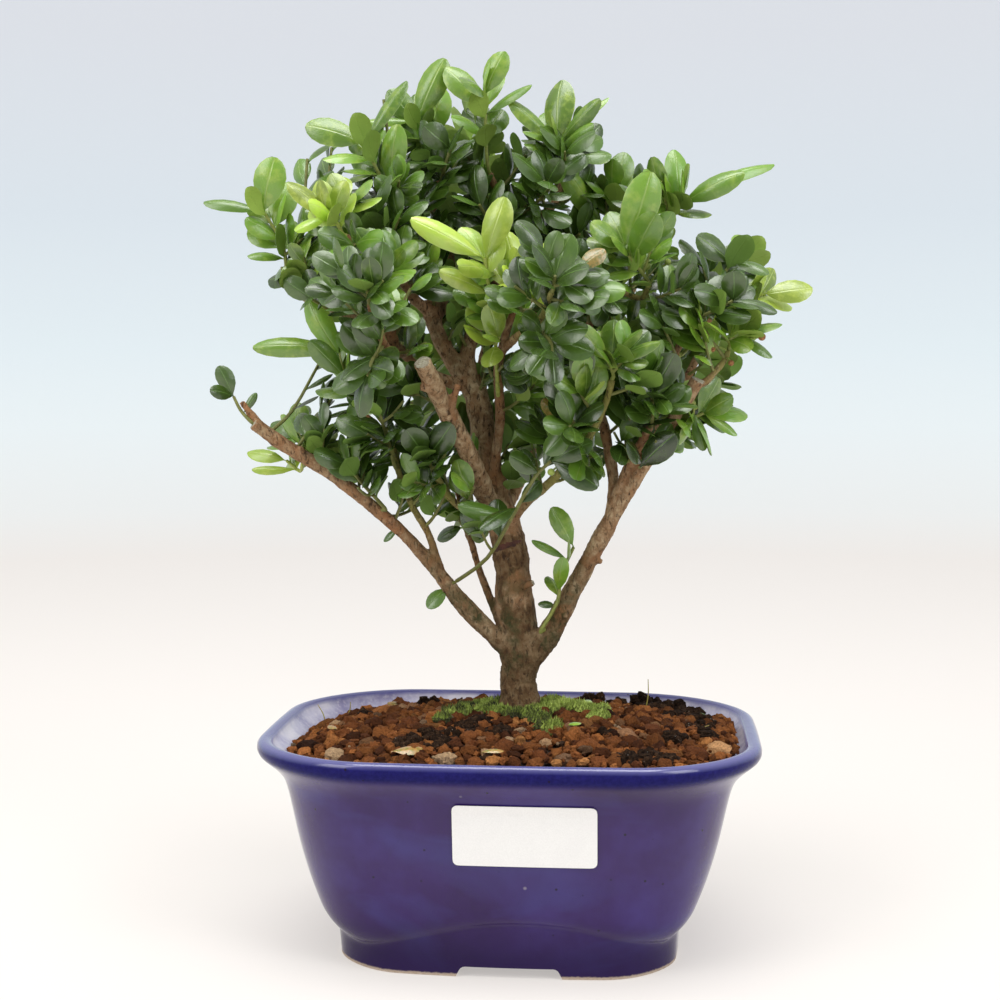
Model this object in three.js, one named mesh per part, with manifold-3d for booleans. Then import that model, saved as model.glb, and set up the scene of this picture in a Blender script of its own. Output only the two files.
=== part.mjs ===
// A japanese holly bonsai in its glazed pot, in millimetres, +Z up.
// The front of the pot faces -Y. Everything is placed from the middle of the pot's foot, and the
// whole group is then shifted so that its box stands with its bottom centre on the origin.

import * as THREE from 'three';
import Module from 'manifold-3d';

const wasm = await Module();
wasm.setup();

// Pot: overall size, then how its plan changes as the wall draws in towards the foot.
const RIM_WIDTH = 152;
const RIM_DEPTH = 118;
const RIM_CORNER = 38;
const CORNER_TAPER = 0.72;
const DEPTH_TAPER = 0.73;
const SIDE_BOW = 2;
const CORNER_STEPS = 4;

// Pot profile from under the floor, round the foot, up the outside, over the lip and down inside.
// Each row is height, how far it lies in from the rim, and how far it climbs at mid-side, where
// the edge of the body rises over the foot in a shallow apron.
const POT_PROFILE = [
  [4.5, 32.5, 0],
  [0, 30.6, 0],
  [0, 25.4, 0],
  [5, 24.8, 4.4],
  [7.4, 23.9, 7.6],
  [9, 21.6, 7.4],
  [12.4, 19.2, 6.2],
  [17.4, 17.4, 4.8],
  [24, 15.4, 2.8],
  [36, 12.4, 0],
  [51, 9.2, 0],
  [55.5, 7.2, 0],
  [58.2, 4.6, 0],
  [60.2, 2.1, 0],
  [61.6, 0.6, 0],
  [63.4, 0, 0],
  [65.2, 0.5, 0],
  [66, 2.2, 0],
  [65.4, 4.4, 0],
  [63, 5.6, 0],
  [58, 11.4, 0],
  [46, 15.4, 0],
  [32, 17.6, 0],
  [21, 21, 0],
  [13, 26, 0],
  [10, 31, 0],
];
const WALL_INSIDE = [
  [10, 31],
  [13, 26],
  [21, 21],
  [32, 17.6],
  [46, 15.4],
  [58, 11.4],
  [63, 5.6],
];
const APRON_REACH = 1.05;
const APRON_LEAN = 0.12;
const NOTCH_WIDTH = 32;
const NOTCH_SHIFT = 2.2;
const NOTCH_SIDE_WIDTH = 20;
const NOTCH_HEIGHT = 3;
const NOTCH_DRAFT = 2;
const DRAIN_RADIUS = 6;
const DRAIN_SPACING = 44;
const DRAIN_SIDES = 16;

// Drain meshes lie on the floor over the two holes.
const SCREEN_SIZE = 20;
const SCREEN_THICKNESS = 0.8;
const SCREEN_CELLS = 2;
const SCREEN_CELL = 6;
const SCREEN_PITCH = 8.5;

// Plain paper label on the front wall.
const LABEL_LEFT = -13;
const LABEL_RIGHT = 28;
const LABEL_BOTTOM = 35.5;
const LABEL_TOP = 53.5;
const LABEL_THICKNESS = 0.3;
const LABEL_CORNER = 1.5;

// Soil: a dark bed fills the pot, and a domed layer of clay grains covers it.
const GAP = 0.35;
const BED_BOTTOM = 11.2;
const BED_TOP = 58;
const BED_LEVELS = [21, 32, 46];
const BED_RADIUS = 7.2;
const SOIL_TOP = 69.8;
const SOIL_FALL = 5.5;
const SOIL_LEAN = 1.8;
const SOIL_TILT = 0.8;
const SOIL_WIDTH = 68;
const SOIL_DEPTH = 52;
const SOIL_EDGE = 63;
const GRAIN_RELIEF = 1.3;
const GRAVEL_SECTORS = 28;
const GRAVEL_BANDS = [0, 0.15, 0.3, 0.45, 0.6, 0.76, 0.9, 1];
const GRAVEL_HOLE = 8.4;
const PEBBLES = [
  [1, -28, 2.4],
  [11, -26, 2.2],
  [-14, -44, 2.8],
  [-46, -28, 2.6],
  [52, -27, 3.2],
];
const PEBBLE_LIFT = -0.1;

// Patches that lie on the grains: first and last band, first and last sector, thickness.
const MOSS_PATCH = { bands: [0, 2], sectors: [0, GRAVEL_SECTORS], thickness: 1.8 };
const PEAT_FRONT = { bands: [3, 5], sectors: [17, 20], thickness: 1.8 };
const PEAT_BACK = { bands: [3, 6], sectors: [2, 6], thickness: 4.5 };

// Wood. Each row is x, y, z and radius along the middle of one limb, from its root outwards.
const TRUNK = [
  [2, 6, 50, 6.2],
  [2, 6, 68, 7.4],
  [2, 6, 72, 6.3],
  [1, 6, 79, 5.8],
  [2, 6, 87, 6.4],
  [0, 6, 104, 5.8],
  [-1, 6, 117, 5.6],
  [-3, 7, 126, 5.3],
  [-6, 8, 137, 4.6],
  [-9, 9, 149, 4.2],
  [-11, 9, 162, 4.0],
  [-13, 10, 171, 3.6],
];
const LIMBS = {
  left_leader: [
    [-12, 9, 167, 3.2], [-18, 10, 176, 2.9], [-23, 11, 184, 2.7],
    [-26, 12, 191, 2.8], [-27, 13, 198, 3.6],
  ],
  right_leader: [[-13, 10, 167, 3.0], [-15, 11, 176, 2.6], [-15, 13, 184, 2.5], [-11, 19, 195, 2.3]],
  cut_stub: [
    [-5, 5, 131, 3.4], [-8, -2, 137, 3.3], [-12, -14, 150, 3.0],
    [-18, -26, 165, 2.8], [-23, -38, 178, 2.8],
  ],
  left_limb: [
    [-2, 4, 89, 3.0],
    [-8, 3, 95, 2.9],
    [-17, 0, 105, 2.6],
    [-29, -4, 121, 2.1],
    [-42, -9, 134, 2.0],
    [-55, -14, 145, 2.0],
    [-67, -18, 153, 2.1],
    [-76, -22, 160, 2.0],
  ],
  right_limb: [
    [5, 5, 85, 3.6],
    [11, 3, 94, 3.7],
    [19, 0, 109, 3.0],
    [30, -4, 130, 2.6],
    [35, -6, 139, 2.5],
    [43, -9, 152, 2.2],
    [50, -12, 163, 2.0],
    [56, -15, 173, 2.4],
  ],
  right_fork: [
    [30, -4, 130, 2.0], [31, -3, 142, 1.8], [28, 0, 158, 1.7],
    [25, 2, 171, 1.5], [23, 0, 194, 1.2], [22, -4, 206, 1.1],
  ],
  fork_spur: [[23, 0, 192, 1.0], [30, -8, 199, 1.0], [39, -14, 197, 0.9], [41, -16, 200, 0.9]],
  right_tip: [[55, -14, 171, 1.3], [59, -13, 173, 1.1], [64, -12, 179, 1.0], [65, -12, 182, 0.9]],
  right_snag: [[31, -5, 135, 1.7], [34, -7, 143, 1.6], [37, -9, 150, 1.5], [42, -18, 159, 1.2]],
  east_front: [[51, -11, 163, 1.4], [48, -8, 173, 1.3], [50, -10, 182, 1.2], [54, -12, 189, 1.0]],
  slender_riser: [
    [-1, 4, 129, 1.6], [6, -5, 137, 1.5], [13, -11, 143, 1.4],
    [24, -20, 156, 1.2], [29, -26, 166, 1.1], [31, -28, 173, 1.0],
  ],
  left_twig: [[-5, 5, 129, 1.4], [-13, -7, 133, 1.3], [-18, -11, 137, 1.2], [-22, -15, 144, 1.1]],
  brown_riser: [
    [-7, 6, 142, 1.7], [-4, 0, 161, 1.6], [-4, -8, 175, 1.5],
    [-2, -13, 183, 1.4], [1, -18, 192, 1.2], [4, -22, 197, 1.0],
  ],
  front_bough: [[-2, -12, 182, 1.3], [4, -26, 186, 1.2], [11, -40, 190, 1.1], [15, -52, 197, 0.9]],
  left_snag: [
    [-17, 8, 171, 2.0], [-26, 2, 175, 1.8], [-34, -6, 182, 1.7],
    [-38, -12, 187, 1.6], [-43, -18, 191, 1.5],
  ],
  west_riser: [[-42, -17, 190, 1.2], [-53, -16, 194, 1.1], [-63, -13, 198, 1.0], [-67, -11, 203, 0.9]],
  front_left: [[-33, -5, 181, 1.4], [-34, -24, 181, 1.3], [-35, -40, 186, 1.1], [-36, -50, 194, 0.9]],
  left_riser: [[-35, -7, 183, 1.3], [-36, -14, 191, 1.2], [-36, -20, 197, 1.1], [-36, -25, 202, 1.0]],
  crown_left: [
    [-26, 12, 193, 2.0], [-32, 4, 199, 1.8], [-34, -3, 204, 1.6],
    [-38, -12, 208, 1.2], [-42, -20, 212, 1.0], [-47, -26, 215, 0.9],
  ],
  crown_nw: [[-32, 5, 199, 1.4], [-32, 6, 210, 1.2], [-34, 0, 220, 1.1], [-36, -4, 229, 1.0]],
  crown_top: [
    [-25, 14, 193, 1.7], [-21, 18, 201, 1.6], [-22, 18, 214, 1.4],
    [-26, 14, 228, 1.1], [-24, 12, 240, 1.0],
  ],
  crown_mid: [
    [-12, 18, 191, 1.9], [-7, 20, 206, 1.7], [-4, 16, 221, 1.5],
    [-6, 11, 231, 1.2], [-8, 8, 237, 1.0],
  ],
  crown_right: [
    [-6, 20, 210, 1.5], [2, 14, 223, 1.6], [10, 8, 225, 1.4],
    [15, 6, 234, 1.1], [14, 6, 241, 0.9],
  ],
  crown_east: [
    [-11, 18, 193, 1.8], [3, 26, 204, 1.6], [23, 24, 213, 1.4],
    [36, 12, 218, 1.2], [45, 4, 222, 1.0],
  ],
  back_left: [
    [-8, 10, 148, 2.4], [-20, 28, 160, 2.1], [-35, 46, 173, 1.8],
    [-49, 56, 190, 1.4], [-56, 60, 208, 1.0],
  ],
  back_mid: [
    [-12, 12, 165, 2.2], [-12, 32, 180, 1.9], [-11, 50, 200, 1.6],
    [-13, 58, 221, 1.3], [-15, 56, 237, 0.9],
  ],
  back_right: [
    [-5, 10, 129, 2.4], [3, 32, 147, 2.1], [15, 50, 166, 1.8],
    [28, 60, 187, 1.4], [37, 62, 206, 1.0],
  ],
  east_bough: [
    [32, -5, 135, 2.0], [40, 14, 151, 1.8], [52, 32, 170, 1.5],
    [60, 40, 188, 1.2], [63, 40, 201, 0.9],
  ],
  green_west: [
    [-21, -1, 110, 1.3], [-26, -4, 126, 1.2], [-30, -8, 134, 1.1],
    [-34, -12, 146, 1.0], [-35, -16, 155, 0.9],
  ],
  back_twig: [
    [-4, 6, 95, 1.4], [-11, 9, 112, 1.2], [-14, 11, 121, 1.1],
    [-17, 14, 129, 1.0], [-20, 16, 141, 0.9],
  ],
};
const TRUNK_SIDES = 8;
const THICK_LIMB = 1.9;
const THICK_SIDES = 6;
const THIN_SIDES = 4;

// Leafy shoots, each one node. The limb it grows on and its place along it (1 is the end), the
// points that its stem passes, how many leaves the rule sets on it, their length, and the leaves
// that are placed one by one: place on the stem, tip, width, and roll. Roll 0 shows the leaf's
// face to the front, and 90 turns its edge to the front and its face up.
const OLD = 'old';
const GROWN = 'grown';
const YOUNG = 'young';
const SHOOTS = [
  ['west_top', 'west_riser', 1, [[-69, -12, 214], [-74, -14, 223]], 2, 14, GROWN,
    [[1, -92, -16, 227, 5.5, 70], [1, -70, -18, 239, 10, 10], [0.75, -67, -10, 233, 8.5, 0],
     [0.4, -67, -4, 222, 7.5, 0],
      [0.3, -77, -22, 210, 4.5, 60]]],
  ['west_gold', 'crown_left', 1, [[-49, -28, 218], [-51, -30, 220]], 2, 13, YOUNG,
    [[1, -62, -34, 230, 6.5, 40], [0.8, -46, -33, 230, 6, 0], [0.7, -54, -42, 223, 6, 60],
     [1, -60, -36, 216, 4.5, 60]]],
  ['nw_top', 'crown_nw', 1, [[-39, -6, 233], [-42, -8, 239], [-44, -8, 244]], 3, 14, GROWN,
    [[1, -62, -10, 250, 9, 30], [1, -32, -8, 263, 5.5, 40], [0.7, -55, -18, 239, 6, 60],
     [0.15, -34, -12, 249, 8, 0]]],
  ['top_left', 'crown_top', 1, [[-28, 10, 246], [-31, 8, 253]], 3, 14, GROWN,
    [[1, -48, 4, 253, 4.5, 70], [1, -22, 6, 272, 9, -10], [0.55, -23, 15, 265, 9.5, 0]]],
  ['top_left_low', 'crown_top', 0.8, [[-21, 0, 238], [-19, -2, 243]], 4, 14, OLD,
    [[1, -26, -8, 249, 8, 20]]],
  ['top_mid', 'crown_mid', 1, [[-9, 6, 247], [-9, 4, 260]], 2, 13, GROWN,
    [[0.85, -21, 4, 269, 8.5, 20], [1, -3, 2, 273, 7.5, 10], [1, -14, -12, 262, 7.5, 60],
     [0.75, 5, 0, 263, 4.5, 50],
      [0.45, -4, 10, 257, 8, 0], [0.45, -18, -4, 253, 5, 50]]],
  ['top_right', 'crown_right', 1, [[13, 4, 245]], 2, 14, GROWN,
    [[1, 14, 6, 265, 10, 10], [0.9, -1, 2, 259, 6, 40], [1, 28, 6, 260, 4.5, 70],
     [0.9, 26, -4, 257, 5.5, 40],
      [0.6, 24, -4, 250, 5, 40]]],
  ['gold_right', 'crown_east', 0.5, [[30, 14, 222], [30, 10, 232]], 4, 15, GROWN,
    [[1, 30, 4, 240, 8, 50], [0.5, 15, 0, 239, 8, 20]]],
  ['right_front', 'fork_spur', 1, [[38, -20, 206], [34, -22, 211]], 3, 14, GROWN,
    [[1, 42, -28, 232, 11, -15], [0.7, 43, -36, 219, 9, 0], [1, 25, -28, 218, 7, 40]]],
  ['ne_top', 'crown_east', 1, [[51, 0, 226]], 2, 15, GROWN,
    [[0.3, 42, -6, 239, 6.5, -40], [0.8, 49, 3, 243, 7.5, 0], [1, 69, -6, 235, 7.5, 20],
     [1, 79, 8, 240, 5, 70]]],
  ['east_upper', 'east_front', 0.82, [[61, -4, 200], [66, -4, 208]], 4, 13, OLD,
    [[1, 56, -8, 216, 8, 30], [1, 72, 0, 213, 5.5, 0], [1, 77, -8, 205, 5, 50]]],
  ['east_mid', 'east_front', 1, [[60, -14, 193], [66, -16, 196]], 3, 13, OLD,
    [[1, 66, -22, 204, 7.5, 0], [0.9, 55, -24, 199, 7, 20], [1, 79, -16, 193, 4.5, 60],
     [0.5, 70, -26, 191, 5.5, 40]]],
  ['far_east', 'east_front', 0.66, [[68, 4, 196], [76, 4, 199]], 4, 14, YOUNG,
    [[1, 91, 4, 201, 8, 20], [1, 88, 0, 197, 5, 60]]],
  ['front_gold', 'brown_riser', 1, [[4, -26, 201]], 3, 13, YOUNG,
    [[1, 4, -38, 209, 9, 50], [0.9, 14, -32, 212, 6, 20], [0.8, 0, -26, 216, 7.5, 0],
     [0.3, 16, -38, 196, 5, 40]]],
  ['front_gold_left', 'brown_riser', 0.5, [[-4, -20, 191], [-5, -26, 200],
    [-6, -28, 208]], 3, 13, YOUNG,
    [[1, -26, -36, 219, 7, 25], [1, 0, -32, 225, 8.5, 0], [0.9, -11, -44, 205, 6, 50],
     [0.75, -18, -34, 204, 5.5, 40]]],
  ['left_fork', 'left_riser', 1, [[-34, -28, 205]], 4, 13, GROWN,
    [[1, -44, -38, 208, 5, 50], [1, -29, -34, 210, 4.5, 10], [0.6, -40, -28, 217, 7.5, 0]]],
  ['left_bright', 'green_west', 1, [[-42, -20, 166], [-48, -22, 173], [-50, -20, 181]], 3, 14, GROWN,
    [[1, -75, -26, 183, 6.5, 30], [0.97, -60, -20, 198, 8, 0], [0.75, -57, -30, 184, 6.5, 20]]],
  ['left_dark', 'green_west', 0.85, [[-37, -26, 162], [-41, -28, 168]], 4, 13, OLD,
    [[1, -45, -30, 180, 8, 0], [1, -56, -34, 169, 5, 50]]],
  ['left_low', 'left_limb', 0.56, [[-44, -14, 141], [-48, -18, 147]], 5, 13, OLD,
    [[1, -57, -24, 152, 6, 40]]],
  ['stub_west', 'left_limb', 1, [[-80, -22, 164], [-82, -22, 168]], 0, 10, OLD,
    [[1, -86, -24, 177, 5.5, 0], [1, -87, -28, 170, 4.5, 50], [0.4, -75, -22, 169, 2.5, 0]]],
  ['limb_under', 'left_limb', 0.82, [[-65, -8, 145], [-70, -4, 148]], 1, 13, YOUNG,
    [[1, -83, -2, 151, 5, 40], [0.6, -79, -12, 146, 3.5, 70]]],
  ['limb_back', 'left_limb', 0.84, [[-65, -4, 154], [-67, -2, 157]], 3, 13, GROWN,
    [[1, -67, -2, 166, 7, 10]]],
  ['centre_left', 'left_twig', 1, [[-24, -20, 150]], 5, 13, OLD,
    [[1, -29, -28, 158, 8, 0], [1, -16, -26, 160, 8, 0]]],
  ['stub_side', 'cut_stub', 0.72, [[-25, -20, 168], [-29, -22, 171]], 5, 13, OLD,
    [[1, -39, -26, 171, 7, 40]]],
  ['trunk_cross', 'left_limb', 0.26, [[-7, -10, 119], [1, -16, 132], [8, -20, 144],
    [13, -22, 149]], 2, 13, OLD,
    [[1, 27, -26, 142, 7.5, 20], [1, 25, -26, 155, 7, 20], [0.9, 2, -30, 151, 6, 50],
     [0.6, -14, -24, 136, 5.5, 50],
      [0.66, -7, -30, 130, 5, 50]]],
  ['limb_low', 'right_limb', 0.12, [[14, -3, 105], [15, -4, 113], [19, -5, 122]], 2, 10, GROWN,
    [[1, 12, -4, 134, 6.5, 0], [0.85, 6, -2, 124, 3, 50], [0.5, 16, -10, 119, 5, 10]]],
  ['slender_top', 'slender_riser', 1, [[30, -30, 178]], 2, 14, GROWN,
    [[1, 22, -38, 188, 5.5, 10], [1, 39, -38, 187, 3.5, 30], [0.8, 18, -42, 182, 5.5, 40],
     [0.8, 44, -38, 184, 4.5, 40]]],
  ['slender_mid', 'slender_riser', 0.62, [[20, -26, 160], [17, -28, 164]], 5, 14, OLD,
    [[0.4, 14, -32, 151, 6, 0]]],
  ['right_green', 'right_snag', 0.5, [[36, -16, 158], [36, -18, 163]], 5, 12, OLD, []],
  ['right_big', 'right_snag', 1, [[43, -22, 166], [43, -24, 169]], 4, 13, OLD,
    [[1, 49, -30, 180, 9, 0], [0.9, 47, -36, 164, 4.5, 20]]],
  ['right_low', 'right_limb', 0.72, [[39, -16, 147]], 1, 12, OLD,
    [[1, 49, -22, 157, 8.5, 0]]],
  ['right_drop', 'right_limb', 0.93, [[55, -8, 162], [58, -8, 163]], 4, 13, GROWN,
    [[1, 68, -12, 157, 4, 50], [1, 66, -14, 168, 6.5, 20], [0.5, 58, -12, 152, 4.5, 30]]],
  ['right_end', 'right_tip', 1, [[65, -12, 185], [68, -12, 186]], 4, 13, GROWN,
    [[1, 78, -14, 180, 4.5, 50], [0.4, 71, -20, 182, 6, 20]]],
  ['bough_top', 'front_bough', 1, [[16, -56, 201]], 5, 13, OLD, []],
  ['bough_mid', 'front_bough', 0.62, [[14, -46, 184], [15, -52, 180]], 5, 13, OLD, []],
  ['fore_left', 'front_left', 1, [[-36, -54, 198]], 5, 13, OLD, []],
  ['fore_left_low', 'front_left', 0.55, [[-36, -44, 179], [-37, -48, 174]], 5, 13, OLD, []],
  ['back_left_end', 'back_left', 1, [[-62, 62, 214], [-67, 62, 220]], 6, 14, GROWN, []],
  ['back_left_mid', 'back_left', 0.62, [[-48, 64, 190], [-56, 68, 186]], 5, 13, OLD, []],
  ['back_mid_end', 'back_mid', 1, [[-17, 56, 246], [-19, 54, 252]], 6, 14, GROWN, []],
  ['back_mid_side', 'back_mid', 0.6, [[-3, 62, 211], [6, 66, 218]], 5, 13, OLD, []],
  ['back_right_end', 'back_right', 1, [[40, 62, 212], [42, 60, 219]], 6, 14, GROWN, []],
  ['back_right_mid', 'back_right', 0.6, [[11, 66, 184], [4, 70, 187]], 5, 13, OLD, []],
  ['bough_east_end', 'east_bough', 1, [[65, 42, 206], [70, 44, 210]], 6, 14, GROWN, []],
  ['bough_east_mid', 'east_bough', 0.6, [[60, 44, 171], [66, 50, 173]], 5, 13, OLD, []],
  ['crown_left_mid', 'crown_left', 0.62, [[-39, -14, 216], [-41, -16, 222]], 4, 13, OLD, []],
  ['crown_mid_low', 'crown_mid', 0.45, [[-7, 2, 220], [-10, -4, 226]], 5, 13, OLD, []],
  ['crown_right_mid', 'crown_right', 0.45, [[11, -4, 230], [10, -10, 232]], 5, 13, OLD, []],
  ['crown_east_low', 'crown_east', 0.28, [[14, 14, 214], [20, 8, 218]], 5, 13, OLD, []],
];

// Shoot and leaf proportions.
const STEM_ROOT_RADIUS = 0.8;
const STEM_TIP_RADIUS = 0.6;
const STEM_SIDES = 3;
const STEM_RISE = 1.1;
const BLADE_THICKNESS = 0.7;
const LEAF_WIDTH = 0.58;
const LEAF_ARCH = 0.06;
const LEAF_WAIST = 0.47;
const LEAF_DROOP = 0.05;
const LEAF_START = 0.25;
const LEAF_TURN = 2.39996;
const LEAF_ROOT_SPREAD = 1.2;
const LEAF_TIP_SPREAD = 0.6;
const SLOTS_PER_LEAF = 3;
const LEAF_TRIES = 8;
const CLEARANCE = 0.35;

// A repeatable draw between 0 and 1 for one leaf of one shoot.
function draw(a, b) {
  const value = Math.sin(a * 12.9898 + b * 78.233) * 43758.5453;
  return value - Math.floor(value);
}

function vector(row) {
  return new THREE.Vector3(row[0], row[1], row[2]);
}

// A solid from a list of points and a list of triangles.
function solid(points, triangles) {
  const vertProperties = new Float32Array(points.length * 3);
  points.forEach((point, i) => point.toArray(vertProperties, i * 3));
  const triVerts = new Uint32Array(triangles.flat());
  const mesh = new wasm.Mesh({ numProp: 3, vertProperties, triVerts });
  return new wasm.Manifold(mesh);
}

// The outer skin of what was joined: a hollow sealed by fusing is filled, a loose scrap dropped.
function outerSkin(shape) {
  return shape.decompose().reduce((best, part) => (part.volume() > best.volume() ? part : best));
}

// Rings of equal count, joined one to the next and capped at both ends.
function loftedSolid(rings) {
  const count = rings[0].length;
  const triangles = [];
  for (let ring = 0; ring < rings.length - 1; ring += 1) {
    for (let i = 0; i < count; i += 1) {
      const next = (i + 1) % count;
      const low = ring * count;
      const high = low + count;
      triangles.push([low + i, low + next, high + next], [low + i, high + next, high + i]);
    }
  }
  const last = (rings.length - 1) * count;
  for (let i = 1; i < count - 1; i += 1) {
    triangles.push([0, i + 1, i], [last, last + i, last + i + 1]);
  }
  return solid(rings.flat(), triangles);
}

// Plan of the pot where it lies in by inset from the rim: a rounded rectangle, its sides bowed.
function potSection(inset, z, rise = 0) {
  const halfWidth = RIM_WIDTH / 2 - inset;
  const halfDepth = RIM_DEPTH / 2 - inset * DEPTH_TAPER;
  const corner = RIM_CORNER - inset * CORNER_TAPER;
  const flat = [];
  for (let quarter = 0; quarter < 4; quarter += 1) {
    const signX = quarter === 0 || quarter === 3 ? 1 : -1;
    const signY = quarter < 2 ? 1 : -1;
    for (let step = 0; step <= CORNER_STEPS; step += 1) {
      const angle = (quarter + step / CORNER_STEPS) * Math.PI / 2;
      const x = signX * (halfWidth - corner) + corner * Math.cos(angle);
      const y = signY * (halfDepth - corner) + corner * Math.sin(angle);
      flat.push([x, y]);
    }
    const alongX = quarter % 2 === 0;
    flat.push(alongX ? [0, signY * halfDepth] : [signX * halfWidth, 0]);
  }
  return flat.map(([x, y]) => {
    const shareX = x / halfWidth;
    const shareY = y / halfDepth;
    const bowedX = x * (1 - SIDE_BOW / halfWidth * shareY * shareY);
    const bowedY = y * (1 - SIDE_BOW / halfDepth * shareX * shareX);
    const off = Math.min(Math.abs(shareX - APRON_LEAN), Math.abs(shareY)) / APRON_REACH;
    const middle = Math.max(0, 1 - off * off);
    return new THREE.Vector3(bowedX, bowedY, z + rise * middle * middle);
  });
}

// A cutter for a notch that runs right under the foot, narrower at its top.
function block(width, topWidth, length, height, alongY) {
  const corner = (half, reach, z) => {
    const [x, y] = alongY ? [half + NOTCH_SHIFT, reach] : [-reach, half];
    return new THREE.Vector3(x, y, z);
  };
  const ring = (reach) => [
    corner(-width / 2, reach, -1),
    corner(width / 2, reach, -1),
    corner(topWidth / 2, reach, height),
    corner(-topWidth / 2, reach, height),
  ];
  return loftedSolid([ring(length / 2), ring(-length / 2)]);
}

function roundCutter(radius, x, bottom, top) {
  const ring = (z) => Array.from({ length: DRAIN_SIDES }, (_, i) => {
    const angle = i / DRAIN_SIDES * Math.PI * 2;
    return new THREE.Vector3(x + radius * Math.cos(angle), radius * Math.sin(angle), z);
  });
  return loftedSolid([ring(bottom), ring(top)]);
}

function makePot() {
  let pot = loftedSolid(POT_PROFILE.map(([z, inset, rise]) => potSection(inset, z, rise)));
  for (const x of [-DRAIN_SPACING / 2, DRAIN_SPACING / 2]) {
    pot = pot.subtract(roundCutter(DRAIN_RADIUS, x, 2, 14));
  }
  const top = NOTCH_WIDTH - 2 * NOTCH_DRAFT;
  const sideTop = NOTCH_SIDE_WIDTH - 2 * NOTCH_DRAFT;
  pot = pot.subtract(block(NOTCH_WIDTH, top, RIM_DEPTH, NOTCH_HEIGHT, true));
  return pot.subtract(block(NOTCH_SIDE_WIDTH, sideTop, RIM_WIDTH, NOTCH_HEIGHT, false));
}

// How far in from the rim the inner wall lies at a height.
function insetInside(z) {
  const rows = WALL_INSIDE;
  if (z >= rows[rows.length - 1][0]) return rows[rows.length - 1][1];
  const above = Math.max(1, rows.findIndex((row) => row[0] > z));
  const [lowZ, lowInset] = rows[above - 1];
  const [highZ, highInset] = rows[above];
  return lowInset + (highInset - lowInset) * (z - lowZ) / (highZ - lowZ);
}

// An upright square prism.
function squarePost(size, x, y, bottom, top) {
  const half = size / 2;
  const ring = (z) => [
    new THREE.Vector3(x - half, y - half, z),
    new THREE.Vector3(x + half, y - half, z),
    new THREE.Vector3(x + half, y + half, z),
    new THREE.Vector3(x - half, y + half, z),
  ];
  return loftedSolid([ring(bottom), ring(top)]);
}

// Drain mesh: a thin square sheet with square openings.
function makeScreen(x) {
  const top = BED_BOTTOM - GAP;
  let sheet = squarePost(SCREEN_SIZE, x, 0, top - SCREEN_THICKNESS, top);
  const middle = (SCREEN_CELLS - 1) / 2;
  for (let row = 0; row < SCREEN_CELLS; row += 1) {
    for (let column = 0; column < SCREEN_CELLS; column += 1) {
      const cellX = x + (column - middle) * SCREEN_PITCH;
      const cellY = (row - middle) * SCREEN_PITCH;
      sheet = sheet.subtract(squarePost(SCREEN_CELL, cellX, cellY, BED_BOTTOM - 3, BED_BOTTOM + 3));
    }
  }
  return sheet;
}

// Label: a sheet that follows the front wall, with its corners clipped.
function makeLabel() {
  const heights = [LABEL_BOTTOM, LABEL_BOTTOM + LABEL_CORNER, 44, 51, LABEL_TOP - LABEL_CORNER, LABEL_TOP];
  const lip = POT_PROFILE.findIndex(([, inset]) => inset === 0);
  const outside = POT_PROFILE.slice(0, lip).filter(([z]) => z > 20);
  const wallY = (x, z) => {
    const above = outside.findIndex((row) => row[0] > z);
    const [lowZ, lowInset] = outside[above - 1];
    const [highZ, highInset] = outside[above];
    const inset = lowInset + (highInset - lowInset) * (z - lowZ) / (highZ - lowZ);
    const plan = potSection(inset, z);
    const edge = plan.findIndex((point, i) => {
      const next = plan[(i + 1) % plan.length];
      return point.y < 0 && next.y < 0 && point.x <= x && next.x > x;
    });
    const from = plan[edge];
    const to = plan[(edge + 1) % plan.length];
    return from.y + (to.y - from.y) * (x - from.x) / (to.x - from.x);
  };
  const rows = heights.map((z, i) => {
    const clip = i === 0 || i === heights.length - 1 ? LABEL_CORNER : 0;
    return [LABEL_LEFT + clip, 0, LABEL_RIGHT - clip].map((x) => new THREE.Vector3(x, wallY(x, z), z));
  });
  const rings = rows.map((row) => {
    const moved = (reach) => row.map((point) => new THREE.Vector3(point.x, point.y - reach, point.z));
    return [...moved(GAP + LABEL_THICKNESS), ...moved(GAP).reverse()];
  });
  return loftedSolid(rings);
}

// Soil bed: fills the pot to under the grains, with a hole for the foot of the trunk.
function makeBed() {
  const levels = [BED_BOTTOM, ...BED_LEVELS, BED_TOP];
  const bed = loftedSolid(levels.map((z) => potSection(insetInside(z) + GAP * 1.5, z)));
  return bed.subtract(trunkPrism(BED_RADIUS, TRUNK[0][2] - GAP, BED_TOP + 5));
}

function trunkPrism(radius, bottom, top) {
  const ring = (z) => Array.from({ length: TRUNK_SIDES }, (_, i) => {
    const angle = i / TRUNK_SIDES * Math.PI * 2;
    const x = TRUNK[0][0] + radius * Math.cos(angle);
    const y = TRUNK[0][1] + radius * Math.sin(angle);
    return new THREE.Vector3(x, y, z);
  });
  return loftedSolid([ring(bottom), ring(top)]);
}

// Height of the grains: a low dome that stands higher at the front.
function soilHeight(x, y) {
  const shareX = x / SOIL_WIDTH;
  const shareY = y / SOIL_DEPTH;
  const dome = SOIL_FALL * (shareX * shareX + shareY * shareY);
  return SOIL_TOP - dome - SOIL_LEAN * shareY + SOIL_TILT * shareX;
}

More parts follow.
